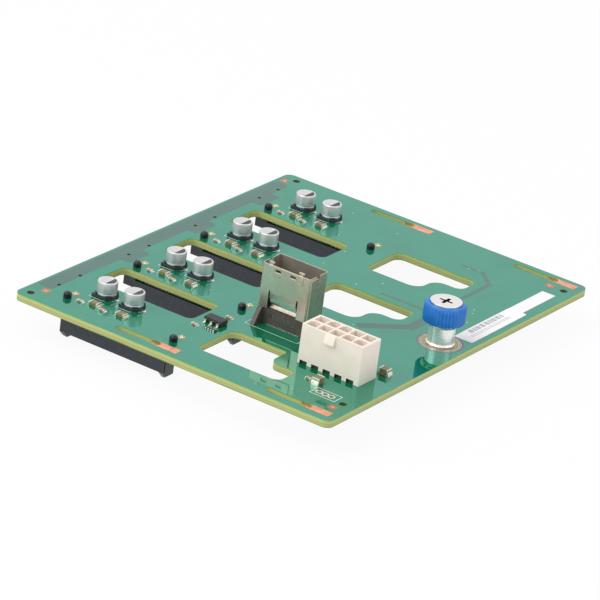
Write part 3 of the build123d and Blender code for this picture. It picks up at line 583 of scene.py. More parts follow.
turnedLong, turnedShort, brushed = (1, 1, 0.2), (1, 1, 0.25), (0.3, 0.3, 1)  # stretched patterns
finishes = {  # one for each slot of the record
    "green_board": newFinish(  # copper close below the film makes it gleam
        "solderMask", (0.005, 0.16, 0.07), 0.04,
        tones=((0.003, 0.132, 0.054), (0.005, 0.16, 0.07), 90, (1, 1, 1), 0.3, 0.6),
        sockets={"IOR": 2.6, "Specular Tint": (0.33, 0.96, 0.88, 1)}),
    "bare_copper": newFinish(
        "bareCopper", (0.86, 0.36, 0.22), 0.34, 0.75,
        tones=((0.78, 0.28, 0.15), (0.93, 0.46, 0.3), 420), bumps=(2600, 0.25)),
    "plated_ring": newFinish(
        "platedRing", (0.36, 0.28, 0.07), 0.3, 0.6,
        tones=((0.28, 0.21, 0.05), (0.46, 0.37, 0.11), 500), rough=(0.22, 0.38, 700)),
    "black_plastic": newFinish(
        "blackPlastic", (0.02, 0.027, 0.038), 0.38,
        tones=((0.016, 0.022, 0.031), (0.026, 0.034, 0.046), 600), bumps=(5200, 0.22)),
    "dark_plastic": newFinish(
        "darkPlastic", (0.078, 0.06, 0.048), 0.45,
        tones=((0.064, 0.05, 0.04), (0.094, 0.074, 0.06), 500), bumps=(4200, 0.2)),
    "gold_contact": newFinish(
        "goldContact", (0.86, 0.62, 0.25), 0.22, 1.0, tones=((0.8, 0.55, 0.2), (0.9, 0.68, 0.3), 800)),
    "tinned_metal": newFinish(
        "tinnedMetal", (0.74, 0.7, 0.62), 0.3, 0.9,
        tones=((0.6, 0.56, 0.48), (0.84, 0.8, 0.72), 900), rough=(0.22, 0.42, 1400)),
    "can_aluminium": newFinish(
        "canAluminium", (0.68, 0.68, 0.69), 0.36, 0.6,
        tones=((0.65, 0.65, 0.66), (0.71, 0.71, 0.72), 500, turnedShort),
        rough=(0.32, 0.42, 1500, turnedLong)),
    "ceramic_brown": newFinish(
        "ceramicBrown", (0.21, 0.17, 0.08), 0.4,
        tones=((0.17, 0.14, 0.06), (0.27, 0.22, 0.11), 1200), bumps=(5200, 0.3)),
    "resistor_tan": newFinish(
        "resistorTan", (0.52, 0.3, 0.2), 0.4, tones=((0.45, 0.25, 0.16), (0.6, 0.36, 0.25), 1300)),
    "black_epoxy": newFinish(
        "blackEpoxy", (0.03, 0.03, 0.032), 0.55,
        tones=((0.024, 0.024, 0.026), (0.038, 0.038, 0.041), 1500), bumps=(6500, 0.35)),
    "cream_nylon": newFinish(
        "creamNylon", (0.93, 0.82, 0.72), 0.42,
        tones=((0.91, 0.8, 0.695), (0.95, 0.84, 0.745), 260), bumps=(3800, 0.12)),
    "cage_steel": newFinish(
        "cageSteel", (0.56, 0.48, 0.39), 0.24, 0.95,
        tones=((0.53, 0.455, 0.365), (0.59, 0.505, 0.415), 160), rough=(0.2, 0.28, 500)),
    "nickel_plate": newFinish(
        "nickelPlate", (0.8, 0.79, 0.77), 0.1, 1.0, rough=(0.07, 0.16, 900, turnedLong)),
    "spring_steel": newFinish("springSteel", (0.6, 0.6, 0.6), 0.25, 1.0, rough=(0.2, 0.35, 1500)),
    "blue_plastic": newFinish(
        "bluePlastic", (0.01, 0.185, 0.6), 0.36,
        tones=((0.008, 0.165, 0.55), (0.014, 0.205, 0.65), 500), bumps=(4200, 0.12)),
    "label_paper": newFinish(
        "labelPaper", (0.93, 0.93, 0.95), 0.55,
        tones=((0.91, 0.91, 0.93), (0.95, 0.95, 0.97), 300), bumps=(3600, 0.1)),
}
for finish in (  # and the finishes of single faces and small pieces, each under its own name
    laminateEdge(),
    newFinish(  # painted shade: the drilled laminate of the hole walls, darkened in colour
        "holeShade", (0.105, 0.11, 0.03), 0.55, tones=((0.08, 0.085, 0.022), (0.14, 0.14, 0.045), 1100)),
    newFinish(  # mask over bare laminate, with no copper below it
        "bandMask", (0.05, 0.15, 0.125), 0.3,
        tones=((0.046, 0.14, 0.118), (0.054, 0.16, 0.134), 60), sockets=clearFilm(0.95)),
    newFinish(
        "haloMask", (0.13, 0.16, 0.165), 0.3,
        tones=((0.1, 0.13, 0.135), (0.16, 0.19, 0.195), 500), sockets=clearFilm(1.0)),
    newFinish(  # bare laminate round a copper mark
        "exposedField", (0.42, 0.17, 0.075), 0.3, tones=((0.36, 0.135, 0.055), (0.5, 0.22, 0.1), 900)),
    newFinish(
        "goldPad", (0.62, 0.44, 0.15), 0.3, 0.85, tones=((0.52, 0.36, 0.11), (0.72, 0.53, 0.2), 900)),
    newFinish(
        "solder", (0.74, 0.7, 0.58), 0.22, 1.0,
        tones=((0.58, 0.54, 0.4), (0.86, 0.82, 0.72), 1600), rough=(0.14, 0.32, 1600)),
    newFinish(
        "silkWhite", (0.8, 0.84, 0.82), 0.5, tones=((0.7, 0.76, 0.73), (0.86, 0.89, 0.88), 1600)),
    newFinish(
        "blackPrint", (0.04, 0.04, 0.045), 0.5, tones=((0.032, 0.032, 0.036), (0.055, 0.055, 0.062), 1400)),
    newFinish(
        "greyInk", (0.3, 0.3, 0.33), 0.6, tones=((0.22, 0.22, 0.25), (0.42, 0.42, 0.45), 900)),
    newFinish(  # painted shade: the cross recess, darkened in colour
        "recessShade", (0.035, 0.035, 0.038), 0.5, 0.4,
        tones=((0.025, 0.025, 0.027), (0.055, 0.055, 0.06), 900)),
    newFinish(  # the ferrule: turned, then dull tinned; the cage tongue's up-facing bend also takes this finish as a painted highlight
        "brushedTinAndCageHighlight", (0.9, 0.91, 0.9), 0.3, 0.75,
        tones=((0.86, 0.87, 0.86), (0.93, 0.94, 0.93), 900, brushed), rough=(0.22, 0.36, 1500, brushed)),
    newFinish(  # peg heads, melted over and glossy
        "pegBlack", (0.01, 0.012, 0.018), 0.12,
        tones=((0.008, 0.009, 0.014), (0.013, 0.015, 0.022), 900), bumps=(900, 0.5, 0.04),
        sockets={"Specular IOR Level": 0.28}),
    newFinish(  # painted shade: tin on the tails under the board, darkened in colour
        "shadedTailTin", (0.15, 0.15, 0.14), 0.5, 0.7, tones=((0.1, 0.1, 0.095), (0.2, 0.2, 0.19), 1200)),
    newFinish(  # tin on the data contacts' feet
        "footTin", (0.62, 0.58, 0.52), 0.45, 0.5, tones=((0.54, 0.5, 0.45), (0.72, 0.68, 0.62), 1500)),
    newFinish(  # painted shade: nylon deep in a narrow notch, darkened in colour
        "notchShade", (0.075, 0.062, 0.05), 0.6, tones=((0.055, 0.045, 0.036), (0.1, 0.085, 0.07), 700)),
    newFinish(  # painted shade: the cage sheet's inward faces, darker and duller than its outer face
        "cageInsideShade", (0.3, 0.27, 0.22), 0.5, 0.35, tones=((0.27, 0.245, 0.2), (0.33, 0.295, 0.245), 200)),
    newFinish(  # lighter than the wall the ribs stand on
        "ribPlastic", (0.17, 0.15, 0.15), 0.4, tones=((0.14, 0.12, 0.12), (0.21, 0.19, 0.19), 900)),
):
    finishes[finish.name] = finish

# Every CAD node takes the finish of its slot
slotOfNode = {part["node"]: part["material_slot"] for part in frame["record"]["subparts"]}
for nodeName, node in nodes.items():
    node.data.materials.clear()
    node.data.materials.append(finishes[slotOfNode[nodeName]])

# Contacts are gold inside. The drive contacts' tails just under the board take a darkened tin, painted shade;
# the data contacts' feet are tinned where they meet the board
tinLevel = {"drive": -0.5 * mm, "data": boardHigh.z + 0.5 * mm}
for nodeName, node in nodes.items():
    if nodeName.startswith("drive_contacts_"):
        paintFaces(node, ["shadedTailTin"], lambda face: face.center.z > tinLevel["drive"])
paintFaces(nodes["data_contacts"], ["footTin"], lambda face: face.center.z < tinLevel["data"])
print("finishes given")


# The board: corners of the stepped cut-outs with their radii, and its holes
cutout = {
    "stepX": 80.6, "front": [(20.8, 3.0), (30.5, 1.6)], "middle": [(66.6, 4.2), (76.3, 4.2)],
    "cornerReach": 0.05, "segments": 8, "flatOver": 0.5,
    "toolingHoles": [(3.75, 3.6), (5.6, 143.0), (112.4, 137.8), (112.2, 13.3)], "holeReach": 1.3,
    "lampHoles": [(5.8, 15.0), (5.8, 25.6)], "lampRadius": 0.62,
}
lampPlaces = everyBay([onBoard(*spot) for spot in cutout["lampHoles"]])


def makeBoard():
    piece = mergedCopy("board", "boardPiece")
    openEdit(piece)
    steps = cutout["front"] + [
        (y + bay * bayStep / mm, radius) for bay in (0, 1) for y, radius in cutout["middle"]]
    for y, radius in steps:
        spot = onBoard(cutout["stepX"], y)
        selectWhere(piece, "edges", lambda edge: all(
            (end.co - spot).xy.length < cutout["cornerReach"] * mm for end in edge.verts))
        bpy.ops.mesh.bevel(offset=radius * mm, segments=cutout["segments"])
    closeEdit()
    finishPiece(piece, "green_board")
    holes = [onBoard(*spot) for spot in cutout["toolingHoles"]] + lampPlaces

    def edgeOrHole(face):
        drilled = any((face.center - hole).xy.length < cutout["holeReach"] * mm for hole in holes)
        return 0 if abs(face.normal.z) > cutout["flatOver"] else 2 if drilled else 1

    # faces inside the drilled holes take painted shade
    paintFaces(piece, ["laminateEdge", "holeShade"], edgeOrHole)
    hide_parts("board")


makeBoard()
print("board done")


# Copper and bands on the board

bands = {
    "left": 0.9, "right": 6.3, "front": 13.0, "back": 135.0,
    "film": 0.01, "filmStep": 0.001, "drillReach": 0.5,  # each track lies a step higher than the last
    "bulgeReach": 3.6, "bulgeOverlap": 1.0, "bulgeLength": 11.0, "bulgeMiddle": 15.5,
    "bulgeFilm": 0.013, "bulgeCorner": 1.2,
    "wide": 3.4, "narrow": 1.5, "fine": 1.0,
    "tracks": [  # from the header's back to the thumbscrew and on to the right back corner
        ((84.5, 64.5), (95.0, 75.2), "wide"), ((95.3, 75.5), (95.3, 91.0), "wide"),
        ((94.0, 91.0), (94.0, 122.6), "narrow"), ((94.0, 122.6), (87.6, 129.0), "narrow"),
        ((87.6, 129.0), (80.0, 129.0), "fine"), ((75.3, 89.7), (92.5, 89.7), "fine"),
    ],
}


def makeBands():
    film, reach, overlap = bands["film"], bands["bulgeReach"], bands["bulgeOverlap"]
    middle = (bands["left"] + bands["right"]) / 2
    width = bands["right"] - bands["left"]
    made = [strip("band", (middle, bands["front"]), (middle, bands["back"]), width, film)]
    for bay in range(1, bayCount):
        spot = onBoard(bands["right"] + reach / 2 - overlap / 2, bands["bulgeMiddle"])
        spot.y += bay * bayStep
        made.append(flatPatch("band", spot, reach + overlap, bands["bulgeLength"], bands["bulgeFilm"],
                              corner=bands["bulgeCorner"]))
    for count, (start, end, kind) in enumerate(bands["tracks"]):
        made.append(strip("band", start, end, bands[kind], film + bands["filmStep"] * count))
    piece = joined(made, "groundBands")
    depth = bands["drillReach"]
    drill = disc("drill", lampPlaces[0], cutout["lampRadius"], -depth, depth, sides=24)
    drills = repeated(drill, lampPlaces, "drills")
    outwardNormals(drills)
    outwardNormals(piece)
    cut = piece.modifiers.new("holes", "BOOLEAN")  # the lamps' holes stay open through the film
    cut.operation = "DIFFERENCE"
    cut.object = drills
    cut.use_self = True
    bpy.ops.object.modifier_apply(modifier=cut.name)
    bpy.data.objects.remove(drills)
    finishPiece(piece, "green_board", "bandMask")


fiducial = {
    "spots": [(6.0, 8.2), (2.8, 140.2), (107.3, 137.8), (111.3, 9.2)],
    "side": 2.7, "field": 0.012, "corner": 0.5, "dot": 0.62, "dotHeight": 0.03,
}


def makeFiducials():
    side = fiducial["side"]
    spots = [onBoard(*spot) for spot in fiducial["spots"]]
    fields = [flatPatch("field", spot, side, side, fiducial["field"], corner=fiducial["corner"])
              for spot in spots]
    finishPiece(joined(fields, "fiducialFields"), "bare_copper", "exposedField")
    dots = [disc("dot", spot, fiducial["dot"], 0, fiducial["dotHeight"], sides=24) for spot in spots]
    finishPiece(joined(dots, "fiducialDots"), "bare_copper")


via = {
    "radius": 0.24, "height": 0.03, "shoulder": 0.6,  # share of the radius and of the height
    "spots": [
        (32.8, 136.0), (52.0, 133.3), (49.0, 107.5), (49.7, 94.3), (65.8, 89.1), (71.0, 96.4),
        (40.3, 117.0), (38.2, 48.8), (82.6, 128.3), (85.8, 129.3), (101.3, 102.2), (102.5, 99.6),
        (104.9, 92.5), (96.2, 10.3), (82.4, 63.0),
    ],
}


def makeVias():
    radius, height, shoulder = via["radius"], via["height"], via["shoulder"]
    places = [onBoard(*spot) for spot in via["spots"]]
    profile = [(radius, 0), (radius, height * shoulder), (radius * shoulder, height)]
    dot = turnPiece("via", places[0], profile, sides=12)
    finishPiece(repeated(dot, places, "viaDots"), "tinned_metal", "solder")


lockPad = {
    "outer": 1.15, "inner": 0.6, "height": 0.03,
    "mound": [(1.0, -0.2), (1.0, 0.03), (0.8, 0.15), (0.4, 0.34)],  # share of the inner radius, and height
}


def makeLockPads():
    places = feetOf("drive_board_locks")
    inner = lockPad["inner"]
    pad = flatRing("pad", places[0], lockPad["outer"], inner, lockPad["height"], sides=28)
    finishPiece(repeated(pad, places, "lockPads"), "bare_copper", "goldPad")
    profile = [(inner * share, height) for share, height in lockPad["mound"]]
    mound = turnPiece("mound", places[0], profile, sides=20)
    finishPiece(repeated(mound, places, "lockSolder"), "tinned_metal", "solder", smooth=60)


liner = {"padMargin": 0.2, "reach": 4.4, "wall": 0.05, "gap": 0.005, "round": 0.99, "segments": 8}


def makeSlotLiners():  # the plated end of each hook slot
    made = []
    for low, high in solidsOf("hook_ground_pads"):
        slotWidth = (high.y - low.y) / mm - 2 * liner["padMargin"]
        slotEnd = low.x + slotWidth / 2 * mm
        spot = footOf(low, high)
        spot.x = slotEnd - (liner["reach"] / 2 + liner["gap"]) * mm
        width = slotWidth - 2 * liner["gap"]
        piece = startSheet("liner", spot, liner["reach"], width)
        selectWhere(piece, "verts", lambda corner: corner.co.x > 0)
        bpy.ops.mesh.bevel(offset=width * mm / 2 * liner["round"], segments=liner["segments"],
                           affect="VERTICES")
        keepRim(liner["wall"])
        leftEnd = (liner["wall"] - liner["reach"] / 2) * mm
        selectWhere(piece, "faces", lambda face: face.calc_center_median().x < leftEnd)
        bpy.ops.mesh.delete(type="FACE")
        selectAll()
        extrudeUp(boardLow.z - boardHigh.z)
        closeEdit()
        made.append(piece)
    finishPiece(joined(made, "slotLiners"), "bare_copper", "goldPad")


makeBands()
makeFiducials()
makeVias()
makeLockPads()
makeSlotLiners()
print("board copper done")


# White print on the board

silk = {
    "line": 0.16, "jumperLine": 0.208, "height": 0.02, "capMargin": 0.6, "capCut": 1.9, "ringGap": 0.04,
}
jumper = {
    "spot": (105.1, 14.8), "length": 9.0, "width": 4.6,
    "x": (102.75, 104.9, 107.05), "ring": 1.15, "pad": 0.82, "hole": 0.45, "height": 0.015,
}
dataPrint = {"margin": 1.3, "front": 37.5}
jumperPlaces = [onBoard(x, jumper["spot"][1]) for x in jumper["x"]]


def makeSilk():
    line, height, margin = silk["line"], silk["height"], dataPrint["margin"]
    low, high = solidsOf("capacitor_bases")[0]
    places = feetOf("capacitor_bases")
    side = (high.x - low.x) / mm + 2 * silk["capMargin"]
    made = copiesAt(flatFrame("outline", places[0], side, side, line, height, silk["capCut"]), places)
    made.append(flatFrame("outline", onBoard(*jumper["spot"]), jumper["length"], jumper["width"],
                          silk["jumperLine"], height))
    for spot in jumperPlaces:
        inner = jumper["pad"] + silk["ringGap"]
        made.append(flatRing("ring", spot, jumper["ring"], inner, height, sides=28))
    low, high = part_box("data_connector_base")
    left, end = (low.x - boardLow.x) / mm - margin, (high.x - boardLow.x) / mm + margin
    front, back = dataPrint["front"], (high.y - boardLow.y) / mm + margin
    for start, stop in (
            ((left, front), (end, front)), ((left, front), (left, back)), ((end, front), (end, back))):
        made.append(strip("line", start, stop, line, height))
    finishPiece(joined(made, "boardPrint"), "label_paper", "silkWhite")


def makeJumperPads():
    made = [flatRing("pad", spot, jumper["pad"], jumper["hole"], jumper["height"], sides=28)
            for spot in jumperPlaces]
    finishPiece(joined(made, "jumperPads"), "bare_copper", "exposedField")


makeSilk()
makeJumperPads()
print("white print done")


# Capacitors

can = {
    "footGap": 0.01, "lipRound": 0.16, "grooveHeight": 1.75, "grooveHalf": 0.3, "grooveDepth": 0.09,
    "topRound": 0.3, "rim": 0.15, "rimSlope": 0.07, "dish": 0.04,
    # curves as shares of their own size: (inwards, upwards)
    "lip": [(0.4, 0.25), (0, 1)],
    "groove": [(0, -1), (0.5, -0.6), (1, -0.2), (1, 0.2), (0.5, 0.6), (0, 1)],
    "top": [(0, -1), (0.13, -0.5), (0.5, -0.13), (1, 0)],
}
mark = {"inset": 0.24, "chord": 0.8, "below": 0.042, "height": 0.012}


def makeCans():
    bottom, top, radius = measures(*solidsOf("capacitor_cans")[0])
    lip, half, depth, rounding = can["lipRound"], can["grooveHalf"], can["grooveDepth"], can["topRound"]
    profile = [(radius - lip, bottom + can["footGap"])]
    profile += [(radius - lip * share, bottom + lip * rise) for share, rise in can["lip"]]
    profile += [(radius - depth * share, can["grooveHeight"] + half * rise) for share, rise in can["groove"]]
    profile += [(radius - rounding * share, top + rounding * rise) for share, rise in can["top"]]
    rim = radius - rounding - can["rim"]
    profile += [(rim, top), (rim - can["rimSlope"], top - can["dish"])]
    places = feetOf("capacitor_cans")
    body = turnPiece("can", places[0], profile, sides=56)
    cans = finishPiece(repeated(body, places, "capacitorCans"), "can_aluminium", smooth=50)
    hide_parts("capacitor_cans")
    spot = places[0] + Vector((0, 0, (top - mark["below"]) * mm))
    printed = disc("mark", spot, radius - mark["inset"] - rounding, 0, mark["height"], sides=48)
    openEdit(printed)
    bpy.ops.mesh.bisect(plane_co=places[0] + Vector((mark["chord"] * mm, 0, 0)), plane_no=(1, 0, 0),
                        use_fill=True, clear_inner=True)
    closeEdit()
    finishPiece(repeated(printed, places, "polarityMarks"), "can_aluminium", "blackPrint")


baseWall = {"gap": 0.06, "outer": 3.62, "sunk": 0.05, "high": 0.62, "chamfer": 0.1, "opening": 1.872}


def makeBaseWalls():  # four short walls on each base, that hold the can
    inner = measures(*solidsOf("capacitor_cans")[0])[2] + baseWall["gap"]
    outer, chamfer = baseWall["outer"], baseWall["chamfer"]
    low = measures(*solidsOf("capacitor_bases")[0])[1] - baseWall["sunk"]
    high = low + baseWall["high"]
    places = feetOf("capacitor_bases")
    wall = turnPiece("baseWall", places[0], [
        (outer, low), (outer, high - chamfer), (outer - chamfer, high), (inner, high), (inner, low)],
        sides=48, hollow=True)
    openEdit(wall)
    shift = wall.location - places[0]

    def nearMiddleLine(face):
        away = face.calc_center_median() + shift
        return min(abs(away.x), abs(away.y)) < baseWall["opening"] * mm

    selectWhere(wall, "faces", nearMiddleLine)
    bpy.ops.mesh.delete(type="FACE")
    selectAll()
    bpy.ops.mesh.fill_holes(sides=8)
    closeEdit()
    finishPiece(repeated(wall, places, "baseWalls"), "black_plastic")


makeCans()
makeBaseWalls()
dressedCopy("capacitor_bases", "capacitorBases", "black_plastic", rounding=0.14)
print("capacitors done")


# Solder at the leads and chip ends; a wedge's cuts are shares of its own height or reach
wedge = {"fall": 0.9, "shorten": 0.1, "roundAbove": 0.3, "round": 0.25}
chipSolder = {"reach": 0.42, "heightShare": 0.62, "widthShare": 0.96}
leadSolder = {"reach": 0.5, "height": 0.22, "widthShare": 1.5}


def solderWedge(foot, out, width, height, reach):  # foot is the middle of its edge on the metal
    centre = foot + out * reach / 2 + Vector((0, 0, height / 2))
    size = (width, reach, height) if abs(out.y) > abs(out.x) else (reach, width, height)
    piece = startBlock("fillet", centre, size)
    selectWhere(piece, "verts", lambda corner: corner.co.z > 0 and corner.co.dot(out) > 0)
    bpy.ops.transform.translate(
        value=Vector((0, 0, -height * wedge["fall"])) - out * reach * wedge["shorten"])
    selectWhere(piece, "edges", lambda edge: all(
        end.co.z > height * wedge["roundAbove"] and end.co.dot(out) < 0 for end in edge.verts))
    bpy.ops.mesh.bevel(offset=reach * wedge["round"], segments=2)
    closeEdit()
    return piece


def makeChipSolder():
    made = []
    kinds = ("ceramic_chip_bodies", "resistor_chip_bodies", "large_ceramic_bodies")
    bodies = [(low + high) / 2 for kind in kinds for low, high in solidsOf(kind)]
    for low, high in solidsOf("chip_metal_ends"):
        middle = (low + high) / 2
        away = middle - min(bodies, key=lambda place: (place - middle).length)
        if abs(away.x) > abs(away.y):
            out, width, half = Vector((math.copysign(1, away.x), 0, 0)), high.y - low.y, (high.x - low.x) / 2
        else:
            out, width, half = Vector((0, math.copysign(1, away.y), 0)), high.x - low.x, (high.y - low.y) / 2
        made.append(solderWedge(footOf(low, high) + out * half, out, width * chipSolder["widthShare"],
                                (high.z - low.z) * chipSolder["heightShare"], chipSolder["reach"] * mm))
    places = feetOf("capacitor_bases")
    for low, high in solidsOf("capacitor_leads"):
        foot = footOf(low, high)
        nearest = min(places, key=lambda place: (place.xy - foot.xy).length)
        out = Vector((math.copysign(1, foot.x - nearest.x), 0, 0))
        foot.x = high.x if out.x > 0 else low.x
        made.append(solderWedge(foot, out, (high.y - low.y) * leadSolder["widthShare"],
                                leadSolder["height"] * mm, leadSolder["reach"] * mm))
    finishPiece(joined(made, "chipSolder"), "tinned_metal", "solder", smooth=60)


makeChipSolder()
dressedCopy("chip_metal_ends", "chipEnds", "tinned_metal", rounding=0.07)
dressedCopy("large_ceramic_bodies", "largeCeramics", "ceramic_brown", rounding=0.06)
dressedCopy("regulator_body", "regulatorBody", "black_epoxy", rounding=0.07)
print("solder and chips done")


# Plastic and sheet metal

header = dressedCopy("power_header", "powerHeader", "cream_nylon", rounding=0.06)
notch = {"height": 1.25, "depth": 0.12}


def darkenNotches():  # painted shade in the cut-outs along the foot of the header
    low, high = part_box("power_header")
    depth = notch["depth"] * mm

    def inNotch(face):
        x, y, z = face.center
        return (low.x + depth < x < high.x - depth and low.y + depth < y < high.y - depth
                and z < boardHigh.z + notch["height"] * mm)

    paintFaces(header, ["notchShade"], inNotch)


darkenNotches()
cage = dressedCopy("data_cage", "dataCage", "cage_steel", rounding=0.06)
cageInner = {"wall": 0.6, "straight": 0.7, "tongueHigh": 9.0, "tongueTilt": 0.2}


def paintCageShadeAndHighlight():  # painted shade on faces that look at the cage's own middle, and a painted highlight on the tongue's up-facing bend
    low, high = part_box("data_cage")
    middle = (low + high) / 2

    def innerSide(face):
        x, y, z = face.center
        across = face.normal.xy
        # the tongue's up-facing bend gets a painted highlight
        if z < boardHigh.z + cageInner["tongueHigh"] * mm and face.normal.z > cageInner["tongueTilt"]:
            return 2
        inward = across.dot((face.center - middle).xy) < 0 and across.length > cageInner["straight"]
        return inward and min(x - low.x, high.x - x, y - low.y, high.y - y) < cageInner["wall"] * mm

    paintFaces(cage, ["cageInsideShade", "brushedTinAndCageHighlight"], innerSide)


paintCageShadeAndHighlight()
base = dressedCopy("data_connector_base", "dataBase", "dark_plastic", rounding=0.05)
baseRib = {
    "pitch": 0.5, "width": 0.2, "length": 1.7, "raised": 0.05, "topGap": 0.35, "endGap": 1.6, "edge": 0.03,
    "facing": 0.99, "within": 0.01,  # how the wall's own faces and corners are found
}


def makeBaseRibs():  # the row of fine ribs along the top of the base's front wall
    pitch, length, endGap = baseRib["pitch"], baseRib["length"], baseRib["endGap"]
    front = min(face.center.y for face in base.data.polygons if face.normal.y < -baseRib["facing"])
    corners = [corner.co for corner in base.data.vertices
               if abs(corner.co.y - front) < baseRib["within"] * mm]
    left, right = min(corner.x for corner in corners), max(corner.x for corner in corners)
    level = max(corner.z for corner in corners) - (baseRib["topGap"] + length / 2) * mm
    spot = Vector((left + endGap * mm, front, level))
    count = int((right - left) / mm / pitch - 2 * endGap / pitch) + 1
    rib = startBlock("rib", spot, (baseRib["width"] * mm, 2 * baseRib["raised"] * mm, length * mm))
    bpy.ops.mesh.bevel(offset=baseRib["edge"] * mm, segments=1)
    closeEdit()
    places = [spot + Vector((step * pitch * mm, 0, 0)) for step in range(count)]
    finishPiece(repeated(rib, places, "baseRibs"), "dark_plastic", "ribPlastic")


makeBaseRibs()
for number in range(1, bayCount + 1):
    connector = dressedCopy(f"drive_connector_{number}", f"driveConnector{number}", "black_plastic",
                            rounding=0.12, smooth=50)
    paintFaces(connector, ["pegBlack"], lambda face: face.center.z > boardHigh.z)
print("connectors done")


# Captive thumbscrew: the knob's sleeve of ribs round a core, hollow from below

screwSpot = footOf(*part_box("screw_knob"))
knob = {
    "ribs": 36, "ribSteps": 6, "ribDepth": 0.42, "flank": 0.55, "crown": 0.02, "ribTopGap": 0.55,
    "wall": 0.9, "edge": 0.12, "lean": 0.985, "lip": 0.955, "fit": 0.01, "footGap": 0.02,
    "shoulder": 0.55, "shoulderCurve": [(0.1, 0.6), (0.3, 0.27), (0.6, 0.08), (1, 0)],  # shares: in, down
    "mouth": 0.12, "mouthGap": 0.05, "mouthEdge": 0.08, "seatDepth": 1.4,
    "cavity": 4.5, "boss": 2.6, "cavityTop": 11.6,
}


def makeKnobSleeve(low, high, radius):
    steps, depth, edge = knob["ribSteps"], knob["ribDepth"], knob["edge"]
    lean, lip = knob["lean"], knob["lip"]
    clearSelection()
    bpy.ops.mesh.primitive_circle_add(
        vertices=knob["ribs"] * steps, radius=radius * mm, fill_type="NOTHING",
        location=screwSpot + Vector((0, 0, low * mm)))
    sleeve = bpy.context.object
    openEdit(sleeve)
    for wanted, sunk in (((3, 4), depth), ((2, 5), depth * knob["flank"]), ((1, 0), knob["crown"])):
        selectWhere(sleeve, "verts", lambda corner: corner.index % steps in wanted)
        share = (radius - sunk) / radius
        bpy.ops.transform.resize(value=(share, share, 1), center_override=screwSpot)
    selectAll("EDGE")
    inner = radius - depth - knob["wall"]
    rise = high - low - knob["ribTopGap"]
    bpy.ops.transform.resize(value=(lean, lean, 1), center_override=screwSpot)
    for share, step in (
            (1 / lean, edge), (1, rise - 2.5 * edge), (lean, edge), (lip, edge * 0.5),
            (inner / radius / lip / lean, 0), (1, edge * 0.5 - rise)):
        bpy.ops.mesh.extrude_edges_move(TRANSFORM_OT_translate={"value": (0, 0, step * mm)})
        bpy.ops.transform.resize(value=(share, share, 1), center_override=screwSpot)
    bridgeEnds()
    closeEdit()
    return sleeve


def makeKnob():
    low, high, radius = measures(*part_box("screw_knob"))
    headTop, headRadius = measures(*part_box("thumb_screw"))[1:]
    seat = headTop - knob["seatDepth"]
    core, edge, shoulder = radius - knob["ribDepth"], knob["edge"], knob["shoulder"]
    cavity, boss, cavityTop = knob["cavity"], knob["boss"], knob["cavityTop"]
    foot = low + knob["footGap"]
    profile = [(cavity, foot), (core - edge, foot), (core - knob["fit"], low + edge),
               (core - knob["fit"], high - shoulder)]
    profile += [(core - shoulder * share, high - shoulder * down) for share, down in knob["shoulderCurve"]]
    profile += [(headRadius + knob["mouth"], high), (headRadius + knob["mouthGap"], high - knob["mouthEdge"]),
                (headRadius + knob["mouthGap"], seat), (boss, seat), (boss, cavityTop), (cavity, cavityTop)]
    sleeve = makeKnobSleeve(low, high, radius)
    body = turnPiece("core", screwSpot, profile, sides=108, hollow=True)
    whole = finishPiece(joined([sleeve, body], "screwKnob"), "blue_plastic", body="thumbscrew", smooth=45)
    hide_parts("screw_knob")


skirt = {
    "inner": 4.32, "low": 6.1, "lowOuter": 4.62, "edge": 0.08,
    "highOuter": 5.15, "shoulder": 7.1, "top": 7.52,
}


def makeSkirt():  # the metal sleeve of the knob, seen below the blue plastic
    inner, low, edge, outer = skirt["inner"], skirt["low"], skirt["edge"], skirt["lowOuter"]
    ring = turnPiece("screwSkirt", screwSpot, [
        (inner, low), (outer - edge, low), (outer, low + edge), (skirt["highOuter"], skirt["shoulder"]),
        (skirt["highOuter"], skirt["top"]), (inner, skirt["top"])], sides=72, hollow=True)
    finishPiece(ring, "nickel_plate", body="thumbscrew", smooth=30)


makeKnob()
makeSkirt()
head = dressedCopy("thumb_screw", "thumbScrew", "nickel_plate", rounding=0.12, segments=3, body="thumbscrew")
recess = {"radius": 2.5, "rim": 0.12, "depth": 1.9}


def darkenRecess():
    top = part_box("thumb_screw")[1].z

    def inRecess(face):
        near = (face.center - screwSpot).xy.length < recess["radius"] * mm
        return near and recess["rim"] < (top - face.center.z) / mm < recess["depth"]

    # the recess faces take painted shade
    paintFaces(head, ["recessShade"], inRecess)


darkenRecess()
dressedCopy("screw_ferrule", "screwFerrule", "nickel_plate", rounding=0.14, segments=3,
            finish="brushedTinAndCageHighlight")
springWire = {"rounding": 0.07, "smooth": 60}


def makeSpring():  # a bevelled, smoothed copy of the spring, free of any body
    piece = mergedCopy("screw_spring", "screwSpring", flatAngle=0)
    bpy.ops.object.parent_clear(type="CLEAR_KEEP_TRANSFORM")
    addBevel(piece, springWire["rounding"], angle=springWire["smooth"])
    bpy.ops.object.shade_smooth_by_angle(angle=math.radians(springWire["smooth"]))
    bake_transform(piece)
    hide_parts("screw_spring")


makeSpring()
print("thumbscrew done")

screwPad = {
    "rings": [(5.78, 0.15), (6.18, 0.14), (6.58, 0.14)], "height": 0.03,  # outer radius and width
    "halo": 7.4, "haloInner": 5.3, "film": 0.015,
}


def makeScrewPad():
    rings = [flatRing("ring", screwSpot, radius, radius - width, screwPad["height"], sides=96)
             for radius, width in screwPad["rings"]]
    finishPiece(joined(rings, "screwPadRings"), "tinned_metal", "solder")
    halo = flatRing("screwPadHalo", screwSpot, screwPad["halo"], screwPad["haloInner"], screwPad["film"],
                    sides=96)
    finishPiece(halo, "green_board", "haloMask")


makeScrewPad()


# Label: two strips, the front one over the back one, with plain bars

